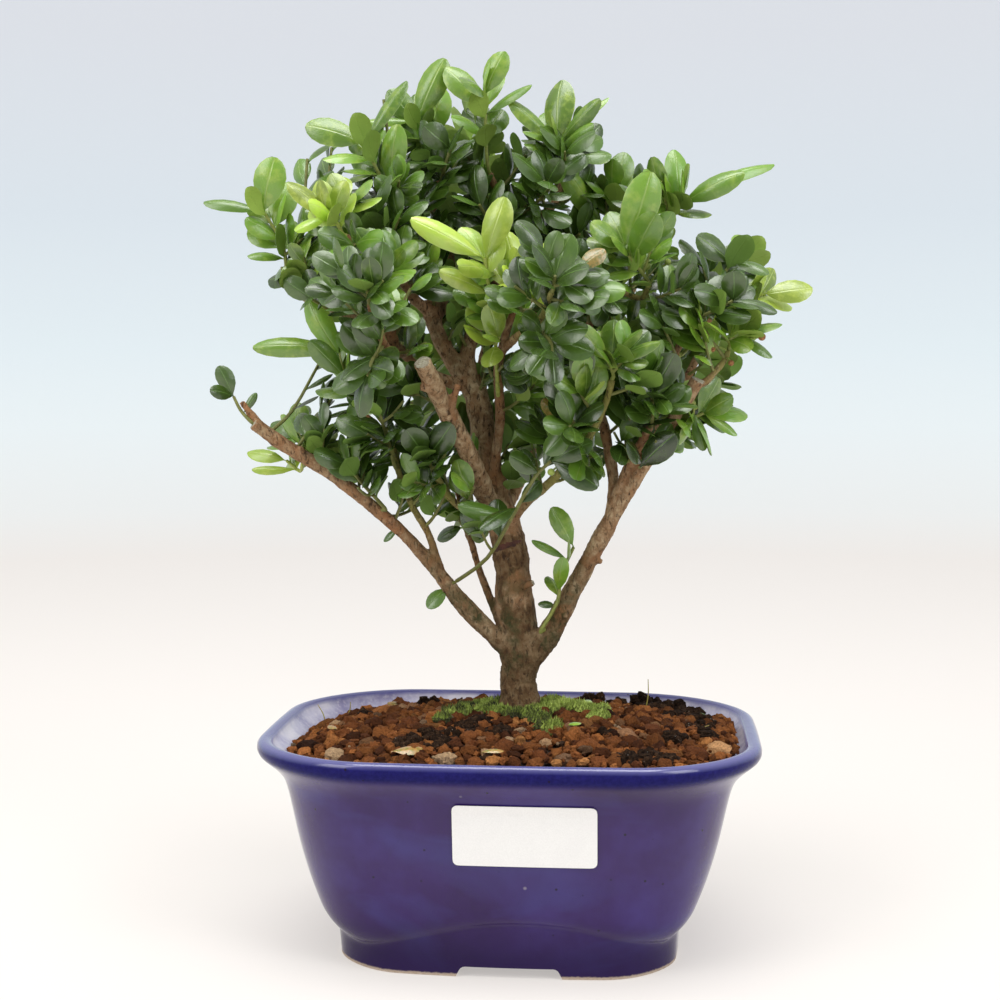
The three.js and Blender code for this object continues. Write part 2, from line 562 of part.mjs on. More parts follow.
// Distance from the trunk to the inner wall along an angle, at a height.
function reachToWall(angle, z) {
  const plan = potSection(insetInside(z) + GAP * 1.5, z);
  const start = new THREE.Vector2(TRUNK[0][0], TRUNK[0][1]);
  const way = new THREE.Vector2(Math.cos(angle), Math.sin(angle));
  let reach = 0;
  plan.forEach((point, i) => {
    const next = plan[(i + 1) % plan.length];
    const edge = new THREE.Vector2(next.x - point.x, next.y - point.y);
    const gap = new THREE.Vector2(point.x - start.x, point.y - start.y);
    const turn = way.cross(edge);
    const along = gap.cross(edge) / turn;
    const across = gap.cross(way) / turn;
    if (across >= 0 && across <= 1 && along > 0) reach = Math.max(reach, along);
  });
  return reach;
}

// Where the top of the grains meets the inner wall, which flares as it rises.
function grainEdge(angle) {
  const guess = reachToWall(angle, BED_TOP);
  const x = TRUNK[0][0] + guess * Math.cos(angle);
  const y = TRUNK[0][1] + guess * Math.sin(angle);
  return reachToWall(angle, Math.min(soilHeight(x, y) - 1, SOIL_EDGE));
}

// One point of the grained surface, by band and sector, lifted by lift.
function grainPoint(band, sector, lift = 0) {
  const wrapped = sector % GRAVEL_SECTORS;
  const angle = wrapped / GRAVEL_SECTORS * Math.PI * 2;
  const share = GRAVEL_BANDS[band];
  const edge = grainEdge(angle);
  const radius = GRAVEL_HOLE + (edge - GRAVEL_HOLE) * share;
  const inner = band > 0 && band < GRAVEL_BANDS.length - 1;
  const shift = inner ? (draw(band, wrapped + 40) - 0.5) * 2.4 : 0;
  const x = TRUNK[0][0] + (radius + shift) * Math.cos(angle);
  const y = TRUNK[0][1] + (radius + shift) * Math.sin(angle);
  const bump = share < 1 ? (draw(band, wrapped) * 2 - 1) * GRAIN_RELIEF : 0;
  return new THREE.Vector3(x, y, soilHeight(x, y) + bump + lift);
}

// Clay grains: a slab with a flat underside and a rough domed top, round the trunk.
function makeGravel() {
  const bands = GRAVEL_BANDS.length;
  const points = [];
  const triangles = [];
  for (let band = 0; band < bands; band += 1) {
    for (let sector = 0; sector < GRAVEL_SECTORS; sector += 1) points.push(grainPoint(band, sector));
  }
  const floor = points.length;
  for (const outer of [false, true]) {
    for (let sector = 0; sector < GRAVEL_SECTORS; sector += 1) {
      const angle = sector / GRAVEL_SECTORS * Math.PI * 2;
      const radius = outer ? reachToWall(angle, BED_TOP + GAP) : GRAVEL_HOLE;
      const x = TRUNK[0][0] + radius * Math.cos(angle);
      const y = TRUNK[0][1] + radius * Math.sin(angle);
      points.push(new THREE.Vector3(x, y, BED_TOP + GAP));
    }
  }
  const quad = (a, b, c, d) => triangles.push([a, b, c], [a, c, d]);
  for (let i = 0; i < GRAVEL_SECTORS; i += 1) {
    const j = (i + 1) % GRAVEL_SECTORS;
    for (let band = 0; band < bands - 1; band += 1) {
      const low = band * GRAVEL_SECTORS;
      const high = low + GRAVEL_SECTORS;
      quad(low + i, high + i, high + j, low + j);
    }
    const rim = (bands - 1) * GRAVEL_SECTORS;
    const under = floor + GRAVEL_SECTORS;
    quad(rim + i, under + i, under + j, rim + j);
    quad(under + i, floor + i, floor + j, under + j);
    quad(floor + i, i, j, floor + j);
  }
  let gravel = solid(points, triangles);
  PEBBLES.forEach(([x, y, radius], i) => {
    gravel = gravel.add(makePebble(x, y, radius, i));
  });
  return gravel;
}

function makePebble(x, y, radius, seed) {
  const stone = new THREE.IcosahedronGeometry(radius, 0);
  const corners = [];
  const triangles = [];
  const source = stone.getAttribute('position');
  for (let i = 0; i < source.count; i += 1) {
    const point = new THREE.Vector3().fromBufferAttribute(source, i);
    let found = corners.findIndex((corner) => corner.distanceTo(point) < 1e-3);
    if (found < 0) found = corners.push(point) - 1;
    if (i % 3 === 0) triangles.push([]);
    triangles[triangles.length - 1].push(found);
  }
  const turn = new THREE.Euler(seed, seed * 2, seed * 3);
  corners.forEach((corner) => {
    corner.applyEuler(turn);
    corner.multiply(new THREE.Vector3(1.25, 1, 0.75));
    corner.add(new THREE.Vector3(x, y, soilHeight(x, y) + radius * PEBBLE_LIFT));
  });
  return solid(corners, triangles);
}

// A patch of moss or peat that lies on the grains and follows them.
function makePatch({ bands, sectors, thickness }) {
  const [firstBand, lastBand] = bands;
  const [firstSector, lastSector] = sectors;
  const closed = lastSector - firstSector === GRAVEL_SECTORS;
  const columns = closed ? GRAVEL_SECTORS : lastSector - firstSector + 1;
  const rowCount = lastBand - firstBand + 1;
  const points = [];
  const triangles = [];
  const index = (row, column, top) => (row * columns + column % columns) * 2 + (top ? 1 : 0);
  for (let row = 0; row < rowCount; row += 1) {
    for (let column = 0; column < columns; column += 1) {
      const side = !closed && (column === 0 || column === columns - 1);
      const edge = side || row === 0 || row === rowCount - 1;
      const swell = edge ? 0.7 : 0.8 + thickness * (0.4 + 0.6 * draw(row + 9, column));
      const band = firstBand + row;
      const sector = firstSector + column;
      points.push(grainPoint(band, sector, GAP), grainPoint(band, sector, GAP + swell));
    }
  }
  const quad = (a, b, c, d) => triangles.push([a, b, c], [a, c, d]);
  const spans = closed ? columns : columns - 1;
  for (let row = 0; row < rowCount - 1; row += 1) {
    for (let column = 0; column < spans; column += 1) {
      const corners = [[row, column], [row + 1, column], [row + 1, column + 1], [row, column + 1]];
      const [a, b, c, d] = corners.map(([r, k]) => index(r, k, true));
      const [e, f, g, h] = corners.map(([r, k]) => index(r, k, false));
      quad(a, b, c, d);
      triangles.push([e, g, f], [e, h, g]);
    }
  }
  const wall = (from, to) => {
    quad(index(...from, true), index(...to, true), index(...to, false), index(...from, false));
  };
  for (let column = 0; column < spans; column += 1) {
    wall([0, column], [0, column + 1]);
    wall([rowCount - 1, column + 1], [rowCount - 1, column]);
  }
  if (!closed) {
    for (let row = 0; row < rowCount - 1; row += 1) {
      wall([row + 1, 0], [row, 0]);
      wall([row, columns - 1], [row + 1, columns - 1]);
    }
  }
  return solid(points, triangles);
}

// A tapered tube along a path of points, each with its radius.
function tubeSolid(path, radii, sides) {
  const rings = [];
  let across = null;
  path.forEach((point, i) => {
    const before = path[Math.max(0, i - 1)];
    const after = path[Math.min(path.length - 1, i + 1)];
    const along = after.clone().sub(before).normalize();
    if (!across) across = new THREE.Vector3(0, 1, 0);
    if (Math.abs(across.dot(along)) > 0.95) across = new THREE.Vector3(1, 0, 0);
    across = across.clone().addScaledVector(along, -across.dot(along)).normalize();
    const third = along.clone().cross(across);
    const ring = Array.from({ length: sides }, (_, k) => {
      const angle = k / sides * Math.PI * 2;
      return point.clone()
        .addScaledVector(across, radii[i] * Math.cos(angle))
        .addScaledVector(third, radii[i] * Math.sin(angle));
    });
    rings.push(ring);
  });
  return loftedSolid(rings);
}

function limbSolid(rows, sides) {
  return tubeSolid(rows.map(vector), rows.map((row) => row[3]), sides);
}

// The trunk's foot is a straight plain post, so that it stands in the hole of the soil bed.
function makeTrunk() {
  const rings = TRUNK.map(([x, y, z, radius]) => Array.from({ length: TRUNK_SIDES }, (_, i) => {
    const angle = i / TRUNK_SIDES * Math.PI * 2;
    return new THREE.Vector3(x + radius * Math.cos(angle), y + radius * Math.sin(angle), z);
  }));
  return loftedSolid(rings);
}

// Place, direction and radius at a share of the length of a limb.
function alongLimb(rows, share) {
  const points = rows.map(vector);
  const lengths = points.slice(1).map((point, i) => point.distanceTo(points[i]));
  let left = lengths.reduce((sum, length) => sum + length, 0) * share;
  let span = 0;
  while (span < lengths.length - 1 && left > lengths[span]) {
    left -= lengths[span];
    span += 1;
  }
  const part = Math.min(1, left / lengths[span]);
  return {
    place: points[span].clone().lerp(points[span + 1], part),
    along: points[span + 1].clone().sub(points[span]).normalize(),
    radius: rows[span][3] + (rows[span + 1][3] - rows[span][3]) * part,
  };
}

// The stem starts just off the bark, square to it, or just past the end of the limb.
function stemPath(limb, share, stem) {
  const { place, along, radius } = alongLimb(LIMBS[limb], share);
  const points = stem.map(vector);
  let out = along;
  let start = place.clone().addScaledVector(along, GAP);
  if (share < 1) {
    out = points[0].clone().sub(place);
    out = out.addScaledVector(along, -out.dot(along)).normalize();
    start = place.clone().addScaledVector(out, radius + GAP);
  }
  return [start, start.clone().addScaledVector(out, STEM_RISE), ...points];
}

function stemRadii(path, extra = 0) {
  const last = path.length - 1;
  return path.map((_, i) => extra + STEM_ROOT_RADIUS + (STEM_TIP_RADIUS - STEM_ROOT_RADIUS) * i / last);
}

function onPath(path, share) {
  const rows = path.map((point) => [point.x, point.y, point.z, 0]);
  return alongLimb(rows, share);
}

// A leaf blade: a wedge at the stem, widest past the middle, blunt at the tip, arched along its
// length with the tip turned down. From and margin trim and grow it for clearance tests.
function blade(foot, tip, facing, width, { from = 0, margin = 0 } = {}) {
  const along = tip.clone().sub(foot);
  const length = along.length();
  along.normalize();
  const up = facing.clone().addScaledVector(along, -facing.dot(along)).normalize();
  const across = up.clone().cross(along);
  const half = width / 2 + margin;
  const thick = BLADE_THICKNESS / 2 + margin;
  const place = (share, side, lift) => foot.clone()
    .addScaledVector(along, length * share + (share === 1 ? margin : 0))
    .addScaledVector(across, side)
    .addScaledVector(up, lift);
  const arch = LEAF_ARCH * length;
  const wedge = half * from / LEAF_WAIST;
  const right = [
    place(LEAF_WAIST, half * 0.84, arch),
    place(0.82, half * 0.9, arch * 0.6),
  ];
  const left = [
    place(0.82, -half * 0.9, arch * 0.6),
    place(LEAF_WAIST, -half * 0.84, arch),
  ];
  const root = from > 0 ? [place(from, -wedge, 0), place(from, wedge, 0)] : [place(0, 0, 0)];
  const outline = [...root, ...right, place(1, 0, -LEAF_DROOP * length), ...left];
  const raised = (point, lift) => point.clone().addScaledVector(up, lift);
  const count = outline.length;
  const points = [
    ...outline.map((point) => raised(point, thick)),
    ...outline.map((point) => raised(point, -thick)),
  ];
  const triangles = [];
  for (let i = 0; i < count; i += 1) {
    const next = (i + 1) % count;
    triangles.push([i, next, count + next], [i, count + next, count + i]);
  }
  // Each face is a strip of flat cross panels from the root to the tip.
  let low = count - 1;
  let high = root.length;
  const face = from > 0 ? [[0, 1, low], [1, high, low]] : [[0, high, low]];
  while (low - high > 2) {
    face.push([low, high, high + 1], [low, high + 1, low - 1]);
    low -= 1;
    high += 1;
  }
  face.push([low, high, high + 1]);
  face.forEach(([a, b, c]) => triangles.push([a, c, b], [count + a, count + b, count + c]));
  return solid(points, triangles);
}

// Facing of a hand-placed leaf from its roll about its own length.
function facingFromRoll(root, tip, roll) {
  const along = tip.clone().sub(root).normalize();
  const front = new THREE.Vector3(0, -1, 0).addScaledVector(along, along.y).normalize();
  const side = front.clone().cross(along);
  if (side.z < -0.2) side.negate();
  const angle = THREE.MathUtils.degToRad(roll);
  return front.multiplyScalar(Math.cos(angle)).addScaledVector(side, Math.sin(angle));
}

// Root, tip and facing of a leaf that the rule sets on a stem. Slots climb the stem in a spiral,
// wide open at its foot and closing towards its tip.
function ruledLeaf(path, slot, slots, length, seed, attempt) {
  const share = LEAF_START + (1 - LEAF_START) * (slot + 0.5) / slots;
  const { place, along } = onPath(path, share);
  const level = new THREE.Vector3(0, 0, 1);
  let across = level.clone().cross(along);
  if (across.length() < 0.2) across = new THREE.Vector3(1, 0, 0).cross(along);
  across.normalize();
  const third = along.clone().cross(across);
  const turn = slot * LEAF_TURN + seed + attempt * 0.7;
  const spread = LEAF_ROOT_SPREAD + (LEAF_TIP_SPREAD - LEAF_ROOT_SPREAD) * share;
  const open = spread + (draw(slot + attempt * 17, seed) - 0.5) * 0.5;
  const radial = across.multiplyScalar(Math.cos(turn)).addScaledVector(third, Math.sin(turn));
  const way = along.clone().multiplyScalar(Math.cos(open)).addScaledVector(radial, Math.sin(open));
  way.addScaledVector(level, 0.2).normalize();
  const long = length * (0.82 + 0.3 * draw(slot + 3, seed));
  const outward = new THREE.Vector3(place.x, place.y, 0).normalize();
  const facing = along.clone().multiplyScalar(0.4)
    .addScaledVector(level, 0.7)
    .addScaledVector(outward, 0.35);
  const tip = place.clone().addScaledVector(way, long);
  return { root: place, tip, facing, width: long * LEAF_WIDTH };
}

function boxesMeet(a, b) {
  return [0, 1, 2].every((axis) => a.min[axis] <= b.max[axis] && b.min[axis] <= a.max[axis]);
}

// Solids that leaves and stems keep clear of, each with its box and the shoot that it belongs to.
const placed = [];

function keep(shape, owner) {
  placed.push({ shape, owner, box: shape.boundingBox() });
}

function isClear(shape, test) {
  const box = shape.boundingBox();
  return placed.every((other) => {
    if (!test(other.owner) || !boxesMeet(box, other.box)) return true;
    return shape.intersect(other.shape).isEmpty();
  });
}

function leafFits(leaf, name) {
  const whole = blade(leaf.root, leaf.tip, leaf.facing, leaf.width, { from: 0.12, margin: CLEARANCE });
  const outer = blade(leaf.root, leaf.tip, leaf.facing, leaf.width, { from: 0.36, margin: 0.1 });
  return isClear(whole, (owner) => owner !== name) && isClear(outer, (owner) => owner === name);
}

// The first attempt at a leaf that stays clear, or nothing where none does.
function firstThatFits(name, attempts) {
  for (let attempt = 0; attempt < LEAF_TRIES; attempt += 1) {
    const leaf = attempts(attempt);
    if (leafFits(leaf, name)) return leaf;
  }
  return null;
}

function placedLeaf(path, [share, x, y, z, width, roll], seed, attempt) {
  const root = onPath(path, share).place;
  const tip = new THREE.Vector3(x, y, z);
  if (attempt > 0) {
    tip.y += (draw(attempt, seed) - 0.5) * 6;
    tip.z += (draw(attempt + 9, seed) - 0.5) * 2;
  }
  const turned = attempt > 0 ? roll + (draw(attempt + 4, seed) - 0.5) * 40 : roll;
  return { root, tip, facing: facingFromRoll(root, tip, turned), width };
}

function makeShoot(row, order, path) {
  const [name, , , , ruled, length, , grown] = row;
  const leaves = [];
  const settle = (leaf) => {
    if (!leaf) return;
    const shape = blade(leaf.root, leaf.tip, leaf.facing, leaf.width);
    leaves.push(shape);
    keep(shape, name);
  };
  grown.forEach((entry, i) => {
    settle(firstThatFits(name, (attempt) => placedLeaf(path, entry, order * 10 + i, attempt)));
  });
  const slots = ruled * SLOTS_PER_LEAF;
  for (let slot = 1; slot < slots; slot += SLOTS_PER_LEAF) {
    settle(firstThatFits(name, (attempt) => ruledLeaf(path, slot, slots, length, order, attempt)));
  }
  let shoot = tubeSolid(path, stemRadii(path), STEM_SIDES);
  leaves.forEach((leaf) => {
    shoot = shoot.add(leaf);
  });
  return outerSkin(shoot);
}

// Finishes.
function finish(color, roughness) {
  return new THREE.MeshStandardMaterial({ color, roughness, metalness: 0, flatShading: true });
}

const LEAF_COLOURS = { old: 0x2f5a2a, grown: 0x4f8638, young: 0x9cbf3c };

const bonsai = new THREE.Group();

// A named mesh from a solid.
function addSolid(name, shape, material) {
  const { vertProperties, triVerts } = shape.getMesh();
  const geometry = new THREE.BufferGeometry();
  geometry.setAttribute('position', new THREE.BufferAttribute(new Float32Array(vertProperties), 3));
  geometry.setIndex(new THREE.BufferAttribute(new Uint32Array(triVerts), 1));
  geometry.computeVertexNormals();
  const mesh = new THREE.Mesh(geometry, material);
  mesh.name = name;
  bonsai.add(mesh);
}

addSolid('pot', makePot(), finish(0x24245f, 0.25));
addSolid('drain_mesh_left', makeScreen(-DRAIN_SPACING / 2), finish(0x2b2b2b, 0.6));
addSolid('drain_mesh_right', makeScreen(DRAIN_SPACING / 2), finish(0x2b2b2b, 0.6));
addSolid('paper_label', makeLabel(), finish(0xf4f3f0, 0.55));
addSolid('soil_bed', makeBed(), finish(0x2c2019, 0.95));
addSolid('clay_grains', makeGravel(), finish(0x8a4b2c, 0.9));
addSolid('moss_ring', makePatch(MOSS_PATCH), finish(0x6f8c34, 0.95));
addSolid('peat_front', makePatch(PEAT_FRONT), finish(0x241a15, 0.95));
addSolid('peat_back', makePatch(PEAT_BACK), finish(0x241a15, 0.95));

let wood = makeTrunk();
keep(wood, 'wood');
Object.values(LIMBS).forEach((rows) => {
  const limb = limbSolid(rows, rows[0][3] >= THICK_LIMB ? THICK_SIDES : THIN_SIDES);
  keep(limb, 'wood');
  wood = wood.add(limb);
});
addSolid('wood', outerSkin(wood), finish(0x7a5a45, 0.85));

const paths = SHOOTS.map(([, limb, share, stem]) => stemPath(limb, share, stem));
SHOOTS.forEach(([name], i) => {
  keep(tubeSolid(paths[i], stemRadii(paths[i]), STEM_SIDES), name);
});
SHOOTS.forEach((row, i) => {
  addSolid(`shoot_${row[0]}`, makeShoot(row, i, paths[i]), finish(LEAF_COLOURS[row[6]], 0.45));
});

const box = new THREE.Box3().setFromObject(bonsai);
const middle = box.getCenter(new THREE.Vector3());
bonsai.position.set(-middle.x, -middle.y, -box.min.z);
bonsai.updateMatrixWorld(true);

export default bonsai;
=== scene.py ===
import math
import random
from functools import partial

import bpy
import numpy as np
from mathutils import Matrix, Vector, noise
from mathutils.kdtree import KDTree


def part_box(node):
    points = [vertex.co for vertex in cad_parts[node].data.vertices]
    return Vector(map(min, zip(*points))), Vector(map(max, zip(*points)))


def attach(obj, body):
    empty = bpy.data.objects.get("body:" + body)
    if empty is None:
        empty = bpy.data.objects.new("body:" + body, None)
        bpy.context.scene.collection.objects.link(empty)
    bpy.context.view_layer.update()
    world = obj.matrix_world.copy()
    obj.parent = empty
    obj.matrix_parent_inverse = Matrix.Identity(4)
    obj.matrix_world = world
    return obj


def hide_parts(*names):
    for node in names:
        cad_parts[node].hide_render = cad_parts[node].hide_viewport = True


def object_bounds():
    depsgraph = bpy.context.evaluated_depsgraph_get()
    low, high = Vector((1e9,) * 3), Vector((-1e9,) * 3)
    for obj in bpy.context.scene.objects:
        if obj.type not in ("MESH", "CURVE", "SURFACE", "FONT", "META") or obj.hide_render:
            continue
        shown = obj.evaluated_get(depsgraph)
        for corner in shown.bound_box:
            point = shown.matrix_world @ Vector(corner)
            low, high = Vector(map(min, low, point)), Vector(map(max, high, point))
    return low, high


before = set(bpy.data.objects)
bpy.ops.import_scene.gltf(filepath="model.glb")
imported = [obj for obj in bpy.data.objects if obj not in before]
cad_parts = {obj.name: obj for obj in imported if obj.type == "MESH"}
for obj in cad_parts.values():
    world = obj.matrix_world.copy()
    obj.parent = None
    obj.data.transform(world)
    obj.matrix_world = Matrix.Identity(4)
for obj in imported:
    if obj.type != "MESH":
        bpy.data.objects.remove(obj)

cad_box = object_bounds()

# Lengths below are in millimetres from the middle of the pot's foot, as in the part's source.
MM = 0.001
pot_low, pot_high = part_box("pot")
POT_X = (pot_low[0] + pot_high[0]) / 2
POT_Y = (pot_low[1] + pot_high[1]) / 2


def at(point):
    return Vector((POT_X + point[0] * MM, POT_Y + point[1] * MM, point[2] * MM))


def clamp(value):
    return min(1, max(0, value))


def in_millimetres(place):
    """A place in metres as one in millimetres from the middle of the pot's foot."""
    return (place[0] - POT_X) / MM, (place[1] - POT_Y) / MM, place[2] / MM


def unsettle(points):
    """An array of points in metres becomes one in millimetres from the middle of the pot's foot."""
    return (points - np.array((POT_X, POT_Y, 0))) / MM


def settle(points):
    """An array of points in millimetres becomes one in metres, at the pot."""
    return np.asarray(points, float) * MM + np.array((POT_X, POT_Y, 0.0))


# Camera, fitted to the rim, foot and label of the pot.
CAMERA_DISTANCE = 511
CAMERA_HEIGHT = 171
CAMERA_SIDE = -4.03
CAMERA_YAW = math.radians(5.15)
CAMERA_PITCH = math.radians(3.92)
CAMERA_FOCAL = 1.658
SENSOR = 36
UP = Vector((0, 0, 1))
VIEW_WAY = Vector((-math.sin(CAMERA_YAW), math.cos(CAMERA_YAW), 0))
VIEW_SIDE = Vector((math.cos(CAMERA_YAW), math.sin(CAMERA_YAW), 0))
EYE = VIEW_WAY * -CAMERA_DISTANCE + VIEW_SIDE * CAMERA_SIDE + UP * CAMERA_HEIGHT

# Pot.
RIM_WIDTH = 152
RIM_DEPTH = 118
RIM_CORNER = 38
CORNER_TAPER = 0.72
DEPTH_TAPER = 0.73
SIDE_BOW = 2
APRON_REACH = 1.05
APRON_LEAN = 0.12
FOOT_SWELL = 1.1
SWELL_TOP = 9
SWELL_FADE = 2
FRONT_NOTCH = 32
SIDE_NOTCH = 20
NOTCH_SHIFT = 2.2
NOTCH_HEIGHT = 4
NOTCH_MIDDLE = 1
NOTCH_TAPER = 4
NOTCH_ROUNDING = 1.2
DRAIN_PLACES = (-22, 22)
DRAIN_RADIUS = 6
DRAIN_DEPTH = 14
DRAIN_MIDDLE = 8
WAVE_START = 4
INNER_GLAZE_FROM = 20
INNER_GLAZE_TO = 65.2
CORNER_POINTS = 12
FRONT_POINTS = 14
SIDE_POINTS = 8
# Height, inset from the rim and apron's rise of each ring of the pot.
POT_PROFILE = [
    [4.5, 32.5, 0], [0, 30.6, 0], [0, 25.4, 0], [5, 24.8, 4.4], [7.4, 23.9, 7.6], [9, 21.6, 7.4],
    [12.4, 19.2, 6.2], [17.4, 17.4, 4.8], [24, 15.4, 2.8], [36, 12.4, 0], [51, 9.2, 0], [55.5, 7.2, 0],
    [58.2, 4.6, 0], [60.2, 2.1, 0], [61.6, 0.6, 0], [63.4, 0, 0], [65.2, 0.5, 0], [66, 2.2, 0],
    [65.4, 4.4, 0], [63, 5.6, 0], [58, 11.4, 0], [46, 15.4, 0], [32, 17.6, 0], [21, 21, 0], [13, 26, 0],
    [10, 31, 0],
]
# Middle and radius at points along the trunk and each limb.
TRUNK = [
    [2, 6, 50, 6.2], [2, 6, 68, 7.4], [2, 6, 72, 6.3], [1, 6, 79, 5.8], [2, 6, 87, 6.4], [0, 6, 104, 5.8],
    [-1, 6, 117, 5.6], [-3, 7, 126, 5.3], [-6, 8, 137, 4.6], [-9, 9, 149, 4.2], [-11, 9, 162, 4.0],
    [-13, 10, 171, 3.6],
]
LIMBS = {
    "left_leader": [
        [-12, 9, 167, 3.2], [-18, 10, 176, 2.9], [-23, 11, 184, 2.7], [-26, 12, 191, 2.8],
        [-27, 13, 198, 3.6],
    ],
    "right_leader": [[-13, 10, 167, 3.0], [-15, 11, 176, 2.6], [-15, 13, 184, 2.5], [-11, 19, 195, 2.3]],
    "cut_stub": [
        [-5, 5, 131, 3.4], [-8, -2, 137, 3.3], [-12, -14, 150, 3.0], [-18, -26, 165, 2.8],
        [-23, -38, 178, 2.8],
    ],
    "left_limb": [
        [-2, 4, 89, 3.0], [-8, 3, 95, 2.9], [-17, 0, 105, 2.6], [-29, -4, 121, 2.1], [-42, -9, 134, 2.0],
        [-55, -14, 145, 2.0], [-67, -18, 153, 2.1], [-76, -22, 160, 2.0],
    ],
    "right_limb": [
        [5, 5, 85, 3.6], [11, 3, 94, 3.7], [19, 0, 109, 3.0], [30, -4, 130, 2.6], [35, -6, 139, 2.5],
        [43, -9, 152, 2.2], [50, -12, 163, 2.0], [56, -15, 173, 2.4],
    ],
    "right_fork": [
        [30, -4, 130, 2.0], [31, -3, 142, 1.8], [28, 0, 158, 1.7], [25, 2, 171, 1.5], [23, 0, 194, 1.2],
        [22, -4, 206, 1.1],
    ],
    "fork_spur": [[23, 0, 192, 1.0], [30, -8, 199, 1.0], [39, -14, 197, 0.9], [41, -16, 200, 0.9]],
    "right_tip": [[55, -14, 171, 1.3], [59, -13, 173, 1.1], [64, -12, 179, 1.0], [65, -12, 182, 0.9]],
    "right_snag": [[31, -5, 135, 1.7], [34, -7, 143, 1.6], [37, -9, 150, 1.5], [42, -18, 159, 1.2]],
    "east_front": [[51, -11, 163, 1.4], [48, -8, 173, 1.3], [50, -10, 182, 1.2], [54, -12, 189, 1.0]],
    "slender_riser": [
        [-1, 4, 129, 1.6], [6, -5, 137, 1.5], [13, -11, 143, 1.4], [24, -20, 156, 1.2],
        [29, -26, 166, 1.1], [31, -28, 173, 1.0],
    ],
    "left_twig": [[-5, 5, 129, 1.4], [-13, -7, 133, 1.3], [-18, -11, 137, 1.2], [-22, -15, 144, 1.1]],
    "brown_riser": [
        [-7, 6, 142, 1.7], [-4, 0, 161, 1.6], [-4, -8, 175, 1.5], [-2, -13, 183, 1.4], [1, -18, 192, 1.2],
        [4, -22, 197, 1.0],
    ],
    "front_bough": [[-2, -12, 182, 1.3], [4, -26, 186, 1.2], [11, -40, 190, 1.1], [15, -52, 197, 0.9]],
    "left_snag": [
        [-17, 8, 171, 2.0], [-26, 2, 175, 1.8], [-34, -6, 182, 1.7], [-38, -12, 187, 1.6],
        [-43, -18, 191, 1.5],
    ],
    "west_riser": [[-42, -17, 190, 1.2], [-53, -16, 194, 1.1], [-63, -13, 198, 1.0], [-67, -11, 203, 0.9]],
    "front_left": [[-33, -5, 181, 1.4], [-34, -24, 181, 1.3], [-35, -40, 186, 1.1], [-36, -50, 194, 0.9]],
    "left_riser": [[-35, -7, 183, 1.3], [-36, -14, 191, 1.2], [-36, -20, 197, 1.1], [-36, -25, 202, 1.0]],
    "crown_left": [
        [-26, 12, 193, 2.0], [-32, 4, 199, 1.8], [-34, -3, 204, 1.6], [-38, -12, 208, 1.2],
        [-42, -20, 212, 1.0], [-47, -26, 215, 0.9],
    ],
    "crown_nw": [[-32, 5, 199, 1.4], [-32, 6, 210, 1.2], [-34, 0, 220, 1.1], [-36, -4, 229, 1.0]],
    "crown_top": [
        [-25, 14, 193, 1.7], [-21, 18, 201, 1.6], [-22, 18, 214, 1.4], [-26, 14, 228, 1.1],
        [-24, 12, 240, 1.0],
    ],
    "crown_mid": [
        [-12, 18, 191, 1.9], [-7, 20, 206, 1.7], [-4, 16, 221, 1.5], [-6, 11, 231, 1.2], [-8, 8, 237, 1.0],
    ],
    "crown_right": [
        [-6, 20, 210, 1.5], [2, 14, 223, 1.6], [10, 8, 225, 1.4], [15, 6, 234, 1.1], [14, 6, 241, 0.9],
    ],
    "crown_east": [
        [-11, 18, 193, 1.8], [3, 26, 204, 1.6], [23, 24, 213, 1.4], [36, 12, 218, 1.2], [45, 4, 222, 1.0],
    ],
    "back_left": [
        [-8, 10, 148, 2.4], [-20, 28, 160, 2.1], [-35, 46, 173, 1.8], [-49, 56, 190, 1.4],
        [-56, 60, 208, 1.0],
    ],
    "back_mid": [
        [-12, 12, 165, 2.2], [-12, 32, 180, 1.9], [-11, 50, 200, 1.6], [-13, 58, 221, 1.3],
        [-15, 56, 237, 0.9],
    ],
    "back_right": [
        [-5, 10, 129, 2.4], [3, 32, 147, 2.1], [15, 50, 166, 1.8], [28, 60, 187, 1.4], [37, 62, 206, 1.0],
    ],
    "east_bough": [
        [32, -5, 135, 2.0], [40, 14, 151, 1.8], [52, 32, 170, 1.5], [60, 40, 188, 1.2], [63, 40, 201, 0.9],
    ],
    "green_west": [
        [-21, -1, 110, 1.3], [-26, -4, 126, 1.2], [-30, -8, 134, 1.1], [-34, -12, 146, 1.0],
        [-35, -16, 155, 0.9],
    ],
    "back_twig": [
        [-4, 6, 95, 1.4], [-11, 9, 112, 1.2], [-14, 11, 121, 1.1], [-17, 14, 129, 1.0],
        [-20, 16, 141, 0.9],
    ],
}
